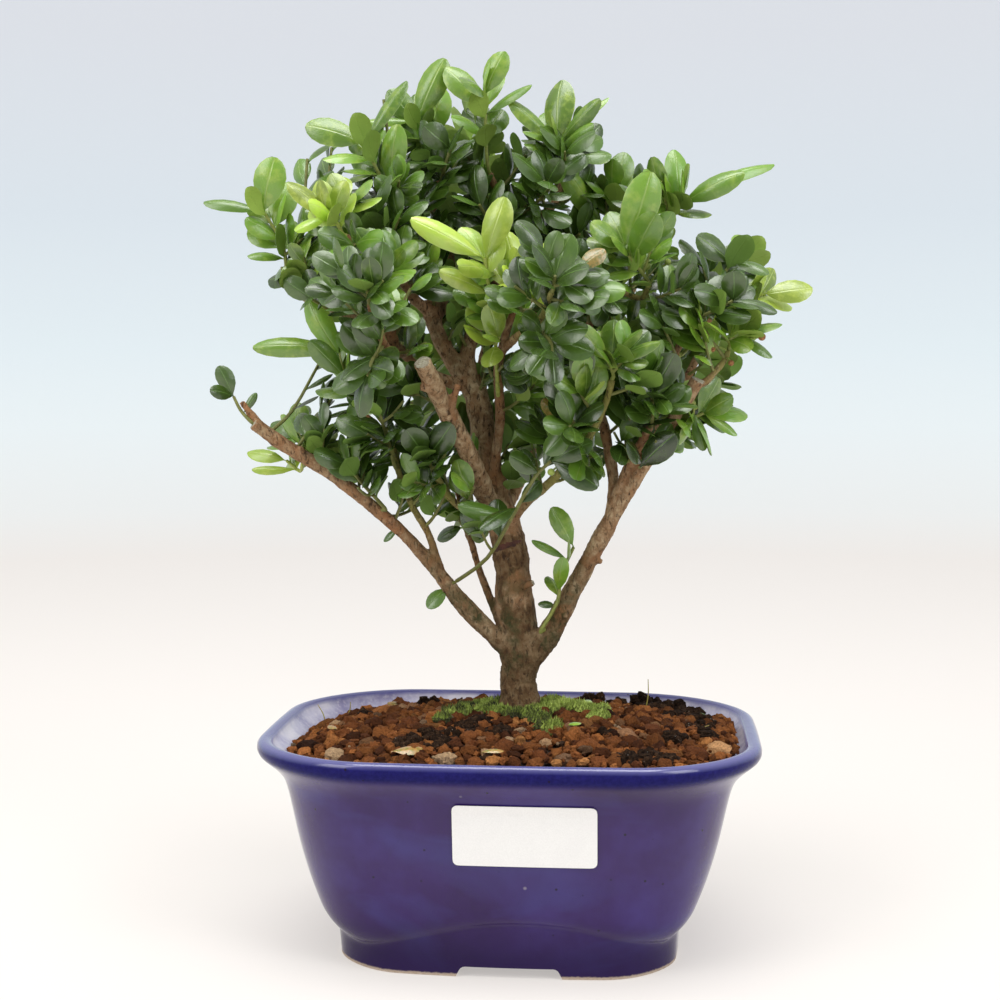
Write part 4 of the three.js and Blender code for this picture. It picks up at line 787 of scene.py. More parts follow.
def moss_material():
    material, tree, shader = start_material("moss")
    ground, tip, _ = tinted(tree)
    tone = calc(tree, "MULTIPLY_ADD", tip, 0.36, times(tree, ground, 0.9))
    _, fine, _ = mottle(tree, 150, 1300)
    colour = colour_ramp(tree, tone, ((0.0, (0.022, 0.019, 0.008)), (0.34, (0.070, 0.080, 0.020)),
                                      (0.65, (0.270, 0.360, 0.055)), (1.0, (0.56, 0.68, 0.16))))
    colour = shade_by(tree, colour, fine, 0.3, 0.5, 0.7, 1.4)
    coat(tree, shader, colour, 0.95, (fine, 0.0008, 1.0))
    return material


def label_material():
    material, tree, shader = start_material("label_paper")
    cloud, fine, _ = mottle(tree, 120, 2500)
    colour = colour_ramp(tree, fine, ((0.3, (0.80, 0.79, 0.77)), (0.7, (0.88, 0.87, 0.85))))
    colour = blend_colours(tree, spread(tree, cloud, 0.45, 0.7, 0.0, 0.25), colour, (0.76, 0.75, 0.74))
    coat(tree, shader, colour, 0.45, (fine, 0.00008, 0.4))
    return material


# Pot.
def along_rows(rows, value, column):
    rows = sorted(rows)
    return float(np.interp(value, [row[0] for row in rows], [row[column] for row in rows]))


def pot_section(inset, height, rise=0.0):
    """Plan of the pot where it lies in by inset from the rim: a bowed rounded rectangle."""
    half_width = RIM_WIDTH / 2 - inset
    half_depth = RIM_DEPTH / 2 - inset * DEPTH_TAPER
    corner = RIM_CORNER - inset * CORNER_TAPER
    flat = []
    for quarter in range(4):
        sign_x = 1 if quarter in (0, 3) else -1
        sign_y = 1 if quarter < 2 else -1
        for step in range(CORNER_POINTS + 1):
            angle = (quarter + step / CORNER_POINTS) * math.pi / 2
            flat.append((sign_x * (half_width - corner) + corner * math.cos(angle),
                         sign_y * (half_depth - corner) + corner * math.sin(angle)))
        start = flat[-1]
        if quarter % 2 == 0:
            end, count = (-start[0], start[1]), FRONT_POINTS
        else:
            end, count = (start[0], -start[1]), SIDE_POINTS
        for step in range(1, count):
            share = step / count
            flat.append((start[0] + (end[0] - start[0]) * share, start[1] + (end[1] - start[1]) * share))
    ring = []
    for x, y in flat:
        share_x, share_y = x / half_width, y / half_depth
        bowed_x = x * (1 - SIDE_BOW / half_width * share_y * share_y)
        bowed_y = y * (1 - SIDE_BOW / half_depth * share_x * share_x)
        off = min(abs(share_x - APRON_LEAN), abs(share_y)) / APRON_REACH
        middle = max(0.0, 1 - off * off)
        swell = FOOT_SWELL * middle * middle * clamp((SWELL_TOP - height) / SWELL_FADE)
        if abs(share_y) > abs(share_x):
            bowed_y += math.copysign(swell, bowed_y)
        else:
            bowed_x += math.copysign(swell, bowed_x)
        ring.append((bowed_x, bowed_y, height + rise * middle * middle))
    return ring


def smooth_rows(rows, steps):
    """Rows with more between them, on a smooth curve through them all."""
    rows = np.asarray(rows, float)
    padded = np.vstack((2 * rows[0] - rows[1], rows, 2 * rows[-1] - rows[-2]))
    out = []
    for i in range(1, len(padded) - 2):
        before, start, end, after = padded[i - 1:i + 3]
        for step in range(steps):
            t = step / steps
            curve = 0.5 * (
                2 * start
                + (end - before) * t
                + (2 * before - 5 * start + 4 * end - after) * t * t
                + (3 * start - before - 3 * end + after) * t ** 3
            )
            out.append(curve)
    out.append(padded[-2])
    return out


def around(x, y):
    """Angle from just before the left side on, so that every ring starts at the same point."""
    return (np.arctan2(y, x) + math.pi + 0.01) % (2 * math.pi)


# Height of each ring while a skin is being extruded, in metres.
RING_STEP = 0.001


def ringed_skin(name, rings):
    """A circle is extruded from ring to ring and closed at both ends."""
    skin = add_shape(bpy.ops.mesh.primitive_circle_add,
                     vertices=len(rings[0]), radius=0.05, fill_type="NGON")
    skin.name = name
    bpy.ops.object.mode_set(mode="EDIT")
    bpy.ops.mesh.select_all(action="SELECT")
    for _ in rings[1:]:
        bpy.ops.mesh.extrude_region_move(TRANSFORM_OT_translate={"value": (0, 0, RING_STEP)})
    bpy.ops.object.mode_set(mode="OBJECT")
    # Each extruded ring keeps the order of the one before it, so its height names the ring.
    spots = points_of(skin)
    level = np.rint(spots[:, 2] / RING_STEP).astype(int)
    turn = around(spots[:, 0], spots[:, 1])
    shaped = np.empty_like(spots)
    for i, ring in enumerate(rings):
        ring = np.asarray(ring, float)
        members = np.nonzero(level == i)[0]
        members = members[np.argsort(turn[members])]
        middle = ring.mean(axis=0)
        order = np.argsort(around(ring[:, 0] - middle[0], ring[:, 1] - middle[1]))
        shaped[members] = ring[order]
    move_points(skin, settle(shaped))
    outward(skin)
    return skin


def cut_away(piece, tool):
    modify(piece, "BOOLEAN", operation="DIFFERENCE", solver="EXACT", object=tool)
    bpy.data.objects.remove(tool)


def drain_tool(x):
    return add_shape(bpy.ops.mesh.primitive_cylinder_add, vertices=32,
                     radius=DRAIN_RADIUS * MM, depth=DRAIN_DEPTH * MM, location=at((x, 0, DRAIN_MIDDLE)))


def notch_tool(width, length, turned):
    """A notch under the foot, narrower at its top, with rounded upper edges."""
    tool = add_shape(bpy.ops.mesh.primitive_cube_add, size=1, location=at((0, 0, NOTCH_MIDDLE)))
    size = (length, width, NOTCH_HEIGHT) if turned else (width, length, NOTCH_HEIGHT)
    tool.scale = [edge * MM for edge in size]
    bpy.ops.object.transform_apply(location=False, rotation=False, scale=True)
    spots = points_of(tool)
    across = 1 if turned else 0
    upper = spots[:, 2] > 0
    middle = (POT_X, POT_Y)[across]
    spots[upper, across] = middle + (spots[upper, across] - middle) * (width - NOTCH_TAPER) / width
    if not turned:
        spots[:, 0] += NOTCH_SHIFT * MM
    move_points(tool, spots)
    modify(tool, "BEVEL", width=NOTCH_ROUNDING * MM, segments=3, limit_method="ANGLE")
    return tool


def eased(rows, passes):
    """Rows with each one drawn a little to its neighbours."""
    rows = np.asarray(rows, float)
    for _ in range(passes):
        rows[1:-1] = (rows[:-2] + 2 * rows[1:-1] + rows[2:]) / 4
    return rows


def make_pot():
    rows = eased(smooth_rows(POT_PROFILE[2:-1], 5), 4)
    rows = [POT_PROFILE[0], POT_PROFILE[1]] + list(rows) + [POT_PROFILE[-1]]
    pot = ringed_skin("glazed_pot", [pot_section(inset, height, rise) for height, inset, rise in rows])
    for x in DRAIN_PLACES:
        cut_away(pot, drain_tool(x))
    cut_away(pot, notch_tool(FRONT_NOTCH, RIM_DEPTH, False))
    cut_away(pot, notch_tool(SIDE_NOTCH, RIM_WIDTH, True))
    # The fired body waves a little in and out.
    spots = points_of(pot)
    for i, spot in enumerate(spots):
        if spot[2] / MM > WAVE_START:
            away = Vector((spot[0] - POT_X, spot[1] - POT_Y, 0)).normalized()
            spots[i] += np.array(away) * noise.noise(Vector(spot) * 22) * 0.2 * MM
    move_points(pot, spots)
    smooth(pot, 42)
    dress(pot, glaze_material(), inner_glaze_material())
    for face in pot.data.polygons:
        x, y, z = in_millimetres(face.center)
        facing_in = face.normal[0] * x + face.normal[1] * y < 0
        if facing_in and INNER_GLAZE_FROM < z < INNER_GLAZE_TO:
            face.material_index = 1
    hand_over(pot, "glaze", "pot")


def wall_front(x, z):
    """Depth of the front wall at a place on it."""
    ring = pot_section(along_rows(WALL_OUTSIDE, z, 1), z)
    front = sorted((point for point in ring if point[1] < 0), key=lambda point: point[0])
    return float(np.interp(x, [point[0] for point in front], [point[1] for point in front]))


def label_corner(x, z):
    """A place on the label, drawn in to a small radius at the label's corners."""
    over_x = max(LABEL_LEFT + LABEL_CORNER - x, x - LABEL_RIGHT + LABEL_CORNER, 0)
    over_z = max(LABEL_BOTTOM + LABEL_CORNER - z, z - LABEL_TOP + LABEL_CORNER, 0)
    if over_x and over_z:
        reach = math.hypot(over_x, over_z)
        shrink = max(over_x, over_z) / reach
        x += math.copysign(over_x * (1 - shrink), (LABEL_LEFT + LABEL_RIGHT) / 2 - x)
        z += math.copysign(over_z * (1 - shrink), (LABEL_BOTTOM + LABEL_TOP) / 2 - z)
    return x, z


def make_label():
    label = add_shape(bpy.ops.mesh.primitive_grid_add, x_subdivisions=40, y_subdivisions=20, size=1)
    shaped = []
    for u, v, _ in points_of(label):
        x, z = label_corner(LABEL_LEFT + (u + 0.5) * (LABEL_RIGHT - LABEL_LEFT),
                            LABEL_BOTTOM + (v + 0.5) * (LABEL_TOP - LABEL_BOTTOM))
        # The short edges come a little off the wall, most at the top.
        curl = 0.12 * max(0.0, abs(u) * 2 - 0.9) * 10 * (0.4 + max(0.0, v))
        shaped.append((x, wall_front(x, z) - LABEL_GAP - curl * 0.12, z))
    move_points(label, settle(shaped))
    modify(label, "SOLIDIFY", thickness=LABEL_THICKNESS * MM, offset=0)
    label.name = "blank_label"
    outward(label)
    finish_piece(label, 30, label_material(), "label_paper", "paper_label")


# Soil: the form of its dome, and where the trunk stands.
SOIL_TOP = 69.8
SOIL_FALL = 5.5
SOIL_LEAN = 1.8
SOIL_TILT = 0.8
SOIL_SINK = 3.2
SOIL_WIDTH = 68
SOIL_DEPTH = 52
TRUNK_X = 2
TRUNK_Y = 6
# Height up to which the inner wall is known, and how much a crumb's radius keeps it off the wall.
WALL_CHECK_TOP = 64
WALL_ROOM = 26
# Squares in which the neighbours of a crumb are looked up.
CELL_SIZE = 6
# Least and greatest radius, number, and how near two may lie.
CRUMB_SIZES = ((2.9, 3.9, 90, 0.84), (2.1, 3.0, 210, 0.82), (1.4, 2.1, 330, 0.8), (1.0, 1.4, 260, 0.8))
GRIT_SIZES = ((0.5, 1.05, 900, 0.62),)


def soil_height(x, y):
    """A low dome, higher at the front, sunk by the left wall and a little higher at the right."""
    share_x, share_y = x / SOIL_WIDTH, y / SOIL_DEPTH
    sunk = SOIL_SINK * clamp((-x - 46) / 22) ** 1.5
    dome = SOIL_TOP - SOIL_FALL * (share_x ** 2 + share_y ** 2)
    return dome - SOIL_LEAN * share_y + SOIL_TILT * share_x - sunk


def inner_reach(x, y, z):
    """How much room is left to the inner wall, as a share: 1 at the wall."""
    inset = along_rows(WALL_INSIDE, z, 1) + 0.5
    half_width = RIM_WIDTH / 2 - inset
    half_depth = RIM_DEPTH / 2 - inset * DEPTH_TAPER
    corner = RIM_CORNER - inset * CORNER_TAPER
    bow_x = SIDE_BOW * (y / half_depth) ** 2
    bow_y = SIDE_BOW * (x / half_width) ** 2
    over_x = max(abs(x) - (half_width - bow_x - corner), 0)
    over_y = max(abs(y) - (half_depth - bow_y - corner), 0)
    if over_x and over_y:
        return math.hypot(over_x, over_y) / corner
    return max((over_x or -1) / corner, (over_y or -1) / corner)


def wall_share(x, y):
    """How near a spot on the soil is to the inner wall: 1 at the wall."""
    return inner_reach(x, y, min(soil_height(x, y), WALL_CHECK_TOP))


def make_soil_skin():
    """The ground between the grains: a closed skin from the bed up to a rough low dome."""
    edge = [(x, y, min(62.6, soil_height(x, y) - 1.6)) for x, y, _ in pot_section(9.3, 60)]
    rings = [pot_section(12.1, 58.4), edge]
    for shrink in (0.955, 0.9, 0.84, 0.78, 0.71, 0.64, 0.56, 0.48, 0.4, 0.32, 0.24, 0.17):
        ring = []
        for x, y, _ in edge:
            px, py = TRUNK_X + (x - TRUNK_X) * shrink, TRUNK_Y + (y - TRUNK_Y) * shrink
            broad = noise.noise(Vector((px, py, 3)) * 0.31)
            rough = broad * 0.9 + noise.noise(Vector((px, py, 9)) * 0.8) * 0.35
            ring.append((px, py, soil_height(px, py) - 1.7 + rough))
        rings.append(ring)
    skin = ringed_skin("soil_surface", rings)
    look = plain_grained("dark_soil", (0.010, 0.007, 0.005), (0.075, 0.038, 0.021), 0.95, 900, 0.001)
    finish_piece(skin, 60, look, "potting_soil", "clay_grains")


def crumb_pattern(name, cuts, seed):
    """One crumb of fired clay: a cube, subdivided, rounded off and knocked out of true."""
    crumb = add_shape(bpy.ops.mesh.primitive_cube_add, size=2)
    crumb.name = name
    bpy.ops.object.mode_set(mode="EDIT")
    bpy.ops.mesh.select_all(action="SELECT")
    bpy.ops.mesh.subdivide(number_cuts=cuts)
    bpy.ops.transform.tosphere(value=0.72)
    bpy.ops.object.mode_set(mode="OBJECT")
    spots = points_of(crumb)
    for i, spot in enumerate(spots):
        way = Vector(spot)
        broad = noise.noise(way * 0.9 + Vector((seed * 7.3, 0, 0)))
        sharp = noise.noise(way * 2.3 + Vector((0, seed * 5.1, 0)))
        knobs = noise.noise(way * 4.6 + Vector((0, 0, seed * 3.3)))
        spots[i] = np.array(way) * (1 + 0.32 * broad + 0.30 * sharp + 0.14 * knobs)
    spots /= np.abs(spots).max(axis=0)
    move_points(crumb, spots)
    add_tint(crumb, (0.5, 0.5, 0))
    return crumb


def tint_layer(piece):
    layers = piece.data.color_attributes
    return layers.get("tint") or layers.new("tint", "FLOAT_COLOR", "POINT")


def add_tint(piece, tint):
    tints = np.tile((*tint, 1.0), (len(piece.data.vertices), 1))
    tint_layer(piece).data.foreach_set("color", tints.ravel())


def copy_of(pattern, tint):
    made = pattern.copy()
    made.data = pattern.data.copy()
    bpy.context.collection.objects.link(made)
    if tint:
        add_tint(made, tint)
    return made


def turned(spots, centre, sizes, turn):
    """Points sized, turned and set down at a place in millimetres."""
    spots = spots * np.asarray(sizes)
    cx, cy, cz = [math.cos(angle) for angle in turn]
    sx, sy, sz = [math.sin(angle) for angle in turn]
    about_x = np.array(((1, 0, 0), (0, cx, -sx), (0, sx, cx)))
    about_y = np.array(((cy, 0, sy), (0, 1, 0), (-sy, 0, cy)))
    about_z = np.array(((cz, -sz, 0), (sz, cz, 0), (0, 0, 1)))
    return spots @ (about_z @ about_y @ about_x).T + np.asarray(centre)


def turned_copy(pattern, centre, sizes, turn, tint):
    made = copy_of(pattern, tint)
    move_points(made, settle(turned(points_of(made), centre, sizes, turn)))
    return made


# Peat: x, y, reach and rise of each clump. Stones: x, y, radius and tint.
PEAT_CLUMPS = [
    (50, 36, 7.5, 3.2), (56, 23, 6.5, 2.2), (41, 41, 6.5, 5.0), (24, 43, 5.0, 5.5), (31, 41, 3.6, 2.5),
    (12, 42, 3.2, 2.6), (58, 10, 5.0, 1.6), (58, -4, 4.6, 1.4), (60, -13, 4.0, 1.0), (48, -23, 4.6, 1.4),
    (44, 28, 5.0, 1.6), (50, 12, 3.6, 1.0), (36, -46, 4.0, 0.9), (42, -43, 4.0, 0.9), (47, -44, 3.4, 0.8),
    (-28, -37, 4.6, 1.2), (-24, -32, 5.0, 1.5), (-18, -38, 4.2, 1.0), (-15, -30, 5.0, 1.1),
    (-11, -23, 4.6, 1.0), (-8, -16, 4.4, 0.9), (-31, 30, 3.6, 3.6), (-2, -27, 3.2, 0.6),
    (-48, 8, 3.2, 0.8), (30, -25, 2.6, 0.6),
]
STONES = [
    (-48.3, -42.0, 3.2, (1.0, 0.9, 0.8)), (-15, -50.5, 2.6, (1.0, 0.9, 0.8)),
    (62.5, -30, 3.5, (1.0, 1.0, 0.35)), (1.8, -35.9, 1.6, (0.9, 0.75, 0.7)),
    (12.9, -37.4, 1.7, (0.9, 0.75, 0.6)), (4.3, -27, 1.7, (0.5, 0.6, 0.7)),
    (17, -38.1, 1.4, (0.0, 0.2, 0.1)), (-55.5, -0.1, 2.0, (0.9, 0.9, 0.65)),
    (-4, -46, 1.6, (0.8, 0.8, 0.6)), (-38, 22, 1.8, (0.8, 0.6, 0.5)), (22, 22, 1.7, (0.7, 0.7, 0.5)),
    (-20, 36, 1.6, (0.8, 0.7, 0.6)),
]


def in_peat(x, y):
    return any(math.hypot(x - px, y - py) < reach * 0.9 for px, py, reach, _ in PEAT_CLUMPS)


def cell_of(x, y):
    """The square of a coarse grid that a spot is in."""
    return int(x // CELL_SIZE), int(y // CELL_SIZE)


def scatter(rng, sizes, taken, inside, tries):
    """Spots for crumbs of each size that keep clear of one another, biggest first."""
    found = []
    for low, high, wanted, crowd in sizes:
        count = 0
        for _ in range(tries):
            if count >= wanted:
                break
            x, y = rng.uniform(-SOIL_WIDTH, SOIL_WIDTH), rng.uniform(-SOIL_DEPTH, SOIL_DEPTH)
            radius = rng.uniform(low, high)
            if not inside(x, y, radius):
                continue
            column, row = cell_of(x, y)
            near = []
            for i in (-1, 0, 1):
                for j in (-1, 0, 1):
                    near.extend(taken.get((column + i, row + j), ()))
            if any(math.hypot(x - sx, y - sy) < (radius + sr) * crowd for sx, sy, sr in near):
                continue
            taken.setdefault((column, row), []).append((x, y, radius))
            found.append((x, y, radius))
            count += 1
    return found


def spot_in_disc(rng, x, y, reach):
    """A random spot in a disc, how far out it is as a share, and its angle."""
    angle = rng.uniform(0, 6.28)
    out = math.sqrt(rng.random())
    return x + reach * out * math.cos(angle), y + reach * out * math.sin(angle), out, angle


def coarse_crumbs(rng, patterns, taken):
    """Copies for the clay grains and the stones."""

    def inside(x, y, radius):
        if wall_share(x, y) > 1 - radius / WALL_ROOM:
            return False
        if math.hypot(x - TRUNK_X, y - TRUNK_Y) < 7.6 + radius * 0.4:
            return False
        return not (in_peat(x, y) and radius > 1.2 and rng.random() < 0.8)

    parts = []
    for x, y, radius in scatter(rng, CRUMB_SIZES, taken, inside, 24000):
        near_moss = math.hypot(x - TRUNK_X - 2, (y - TRUNK_Y) * 1.1) < 20
        warmth = clamp(rng.gauss(0.46, 0.2)) * (0.55 if near_moss else 1)
        tint = (warmth, rng.random(), 0.0 if rng.random() > 0.04 else 0.3)
        lift = soil_height(x, y) - radius * rng.uniform(0.25, 0.75) + rng.uniform(0, 0.9)
        sizes = [radius * rng.uniform(*span) for span in ((0.9, 1.2), (0.8, 1.1), (0.65, 1.0))]
        turn = (rng.uniform(-0.7, 0.7), rng.uniform(-0.7, 0.7), rng.uniform(0, 6.28))
        parts.append(turned_copy(rng.choice(patterns), (x, y, lift), sizes, turn, tint))
    for x, y, radius, tint in STONES:
        place = (x, y, soil_height(x, y) + radius * 0.05)
        sizes = (radius * 1.25, radius, radius * 0.75)
        parts.append(turned_copy(patterns[1], place, sizes, (0.2, 0.1, x), tint))
    return parts


def fine_crumbs(rng, patterns, taken):
    """Copies for the grit between the grains."""

    def inside(x, y, radius):
        if wall_share(x, y) > 1 - radius / WALL_ROOM:
            return False
        return math.hypot(x - TRUNK_X, y - TRUNK_Y) > 7.4

    parts = []
    for x, y, radius in scatter(rng, GRIT_SIZES, taken, inside, 12000):
        tint = (rng.uniform(0.05, 0.75), rng.random(), 0.0 if rng.random() > 0.05 else 0.8)
        sizes = [radius * rng.uniform(*span) for span in ((0.8, 1.3), (0.7, 1.1), (0.6, 1.0))]
        place = (x, y, soil_height(x, y) - 0.9 + rng.uniform(0, 1.6))
        pattern = rng.choice(patterns)
        parts.append(turned_copy(pattern, place, sizes, (rng.uniform(0, 6), rng.uniform(0, 6), 0), tint))
    return parts


def make_crumbs():
    rng = random.Random(31)
    coarse = [crumb_pattern(f"crumb_{i}", 3, i + 1) for i in range(6)]
    fine = [crumb_pattern(f"grit_{i}", 1, i + 11) for i in range(3)]
    look = clay_material()
    taken = {}
    for x, y, radius, _ in STONES:
        taken.setdefault(cell_of(x, y), []).append((x, y, radius))
    finish_piece(join(coarse_crumbs(rng, coarse, taken), "clay_crumbs"), 34, look, "clay_grain")
    finish_piece(join(fine_crumbs(rng, fine, taken), "clay_grit"), 50, look, "clay_grain")
    for pattern in coarse + fine:
        bpy.data.objects.remove(pattern)


def peat_material():
    material, tree, shader = start_material("peat")
    shade = tinted(tree)[1]
    cloud, fine, speck = mottle(tree, 260, 1100)
    colour = colour_ramp(tree, fine, (
        (0.35, (0.011, 0.006, 0.004)), (0.55, (0.038, 0.020, 0.011)), (0.72, (0.105, 0.058, 0.032))))
    colour = blend_colours(tree, spread(tree, cloud, 0.6, 0.72, 0.0, 0.5), colour, (0.10, 0.045, 0.022))
    grains = times(tree, speck, calc(tree, "GREATER_THAN", cloud, 0.55))
    colour = blend_colours(tree, grains, colour, (0.55, 0.52, 0.47))
    colour = shade_by(tree, colour, shade, 0.0, 0.6, 1.0, 1.3)
    coat(tree, shader, colour, 0.97, (fine, 0.0015, 1.0), 0.1)
    return material


def make_peat():
    rng = random.Random(47)
    lump = crumb_pattern("peat_lump", 2, 23)
    groups = {"peat_heap_back": [], "peat_heap_front": []}
    for x, y, reach, rise in PEAT_CLUMPS:
        side = "peat_heap_back" if y > -5 else "peat_heap_front"
        for _ in range(int(7 + reach * 3)):
            px, py, out, _ = spot_in_disc(rng, x, y, reach)
            if wall_share(px, py) > 0.93:
                continue
            radius = rng.uniform(0.9, 2.3) * (1 - 0.3 * out)
            lift = soil_height(px, py) - 0.4 + rise * (1 - out ** 2) * rng.uniform(0.3, 1.0)
            sizes = [radius * rng.uniform(0.7, 1.3) for _ in range(3)]
            turn = [rng.uniform(0, 6.28) for _ in range(3)]
            groups[side].append(turned_copy(lump, (px, py, lift), sizes, turn, (0, rng.random(), 0)))
    material = peat_material()
    for name, parts in groups.items():
        solid = "peat_back" if name == "peat_heap_back" else "peat_front"
        finish_piece(join(parts, name), 50, material, "peat", solid)
    bpy.data.objects.remove(lump)


# Moss: x, y, reach and tone of each patch, from olive to bright yellow-green.
MOSS_PATCHES = [
    (-13, 5, 5.0, 0.25), (-8, 10, 5.0, 0.45), (-6, 0, 4.5, 0.35), (-1, -4, 4.5, 0.4), (4, -9, 4.5, 0.3),
    (8, -13, 4.0, 0.25), (10, 0, 4.5, 0.6), (13, 8, 5.5, 0.85), (18, 12, 5.5, 0.95), (22, 5, 4.5, 0.8),
    (27, -4, 4.0, 0.7), (26, 3, 3.5, 0.75), (5, 17, 5.0, 0.5), (-4, 17, 4.5, 0.4), (-17, -2, 3.0, 0.15),
    (12, -24, 2.5, 0.2), (-20, -14, 2.2, 0.2), (14, 18, 4.0, 0.7),
]

SHOOTS_ON_A_TUFT = 40


def moss_tuft(seed):
    """A cushion with fine shoots on it, one millimetre in reach; the shoots' tint is paler."""
    rng = random.Random(seed)
    tuft = crumb_pattern("moss_tuft", 2, seed)
    move_points(tuft, points_of(tuft) * np.array((1.0, 1.0, 0.6)))
    add_tint(tuft, (0.0, 0.0, 0.0))
    shoot = add_shape(bpy.ops.mesh.primitive_cone_add,
                      vertices=3, radius1=0.13, radius2=0.01, depth=1, end_fill_type="NGON")
    parts = [tuft]
    for _ in range(SHOOTS_ON_A_TUFT):
        x, y, out, angle = spot_in_disc(rng, 0, 0, 1)
        rise = 0.6 * math.sqrt(max(0, 1 - out * out))
        tall = rng.uniform(0.35, 0.8)
        turn = (rng.uniform(-0.8, 0.8), rng.uniform(-0.8, 0.8), angle)
        made = copy_of(shoot, (0.0, rng.uniform(0.2, 1.0), 0.0))
        move_points(made, turned(points_of(made), (x, y, rise + tall * 0.25), (1, 1, tall), turn))
        parts.append(made)
    bpy.data.objects.remove(shoot)
    return join(parts, "moss_tuft")


def set_tone(piece, tone):
    """Adds a tone to the first part of a piece's tint."""
    layer = tint_layer(piece)
    tints = np.empty(len(piece.data.vertices) * 4)
    layer.data.foreach_get("color", tints)
    tints[0::4] += tone
    layer.data.foreach_set("color", tints)


def make_moss():
    """Low cushions of moss round the trunk."""
    rng = random.Random(59)
    tufts = [moss_tuft(seed) for seed in (29, 33, 38)]
    parts = []
    for x, y, reach, tone in MOSS_PATCHES:
        for _ in range(int(3 + reach * 2.2)):
            px, py, out, angle = spot_in_disc(rng, x, y, reach)
            if math.hypot(px - TRUNK_X, py - TRUNK_Y) < 7.2:
                continue
            radius = rng.uniform(1.3, 2.9)
            tuft = rng.choice(tufts)
            place = (px, py, soil_height(px, py) + 1.3 * (1 - out) * rng.random())
            sizes = (radius, radius, radius * rng.uniform(0.8, 1.5))
            made = turned_copy(tuft, place, sizes, (0.1, 0.1, angle), None)
            set_tone(made, clamp(rng.gauss(tone, 0.16)))
            parts.append(made)
    finish_piece(join(parts, "moss_cushions"), 50, moss_material(), "moss", "moss_ring")
    for tuft in tufts:
        bpy.data.objects.remove(tuft)


# Wood.
# Dead snags, and roots that come out at the trunk's foot: middle and radius at points along each.
SNAGS = [
    [[2, 3, 108, 1.5], [4, 0, 109.5, 1.3], [6.5, -1.5, 110.6, 1.1]],
    [[23.5, -2, 117.5, 1.4], [26, -3, 117.6, 1.1], [27.8, -3.6, 117.4, 0.8]],
    [[-17, -24, 163, 1.5], [-15, -27, 168, 1.2], [-13.8, -29, 171.5, 1.0]],
    [[-20, -31, 170.5, 1.8], [-22.6, -33, 170.8, 1.5], [-24, -34, 171, 1.0]],
    [[36, -8, 147, 1.1], [40, -14, 155, 1.0], [42.5, -18, 160, 0.8]],
    [[-72, -20.5, 157, 1.4], [-77, -22, 163, 1.2], [-79.5, -22.3, 166.5, 0.9]],
    [[-60, -15.5, 148.5, 1.3], [-62, -18.5, 151.5, 1.1], [-62.5, -19.8, 153, 0.8]],
    [[-35, -6, 127, 1.2], [-36, -9, 129.5, 1.0], [-36.3, -10.5, 131, 0.8]],
    [[13, 2, 98, 1.3], [15.5, -1.5, 100, 1.1], [16.6, -3.2, 101, 0.9]],
    [[7.2, -13, 190, 1.0], [7.3, -15, 194, 1.0], [7.2, -15.8, 197, 0.8]],
]
ROOTS = [
    [[3, 5, 74, 4.0], [6, 4, 70, 2.6], [8.0, 2.5, 67, 1.5]],
    [[2, 7, 74, 4.0], [4, 11, 70, 2.6], [5, 13, 67, 1.5]],
    [[1, 7, 73, 3.6], [-3, 8, 69.5, 2.3], [-5, 9, 67, 1.4]],
]

# Limbs with young green bark.
GREEN_LIMBS = ("slender_riser", "right_tip", "green_west", "front_bough", "fork_spur", "left_twig")


def tube(rows, roundness):
    """A curve with its own radius at each point, made into a closed mesh."""
    curve = bpy.data.curves.new("tube", "CURVE")
    curve.dimensions = "3D"
    curve.bevel_depth = MM
    curve.bevel_resolution = roundness
    curve.use_fill_caps = True
    line = curve.splines.new("POLY")
    line.points.add(len(rows) - 1)
    for point, row in zip(line.points, rows):
        point.co = (*at(row), 1)
        point.radius = row[3]
    made = bpy.data.objects.new("tube", curve)
    bpy.context.collection.objects.link(made)
    select_only(made)
    bpy.ops.object.convert(target="MESH")
    outward(bpy.context.object)
    return bpy.context.object


def knotty(rows, seed, depth):
    """More points along a limb, its thickness uneven as where leaves once sat."""
    fine = smooth_rows(rows, 6)
    last = len(fine) - 1
    out = []
    for i, row in enumerate(fine):
        swell = 1 + depth * noise.noise(Vector((seed * 3.7, i * 0.45, 0))) * (1 if 2 < i else 0)
        wander = 0.25 * min(1, i / 6) * (1 if i < last else 0)
        out.append((row[0] + wander * noise.noise(Vector((i * 0.31, seed, 1))),
                    row[1] + wander * noise.noise(Vector((i * 0.31, seed, 5))), row[2], row[3] * swell))
    return out


# Share of the wood's faces that is kept, so that it stays under the limit of one piece.
WOOD_KEPT = 0.79


def make_wood():
    parts = [tube(knotty(TRUNK, 1, 0.10), 6)]
    for i, rows in enumerate(LIMBS.values()):
        parts.append(tube(knotty(rows, i + 2, 0.16), 3))
    for i, rows in enumerate(SNAGS + ROOTS):
        parts.append(tube(knotty(rows, i + 60, 0.2), 2))
    wood = join(parts, "tree_wood")
    modify(wood, "REMESH", mode="VOXEL", voxel_size=0.5 * MM)
    modify(wood, "SMOOTH", factor=0.5, iterations=3)
    modify(wood, "DECIMATE", ratio=WOOD_KEPT)
    bark_relief(wood)
    smooth(wood, 70)
    dress(wood, bark_material(), cut_wood_material(), scar_material())
    mark_cuts(wood)
    hand_over(wood, "bark", "wood")


def search_tree(spots):
    """What finds the nearest of many points."""
    tree = KDTree(len(spots))
    for i, spot in enumerate(spots):
        tree.insert(spot, i)
    tree.balance()
    return tree


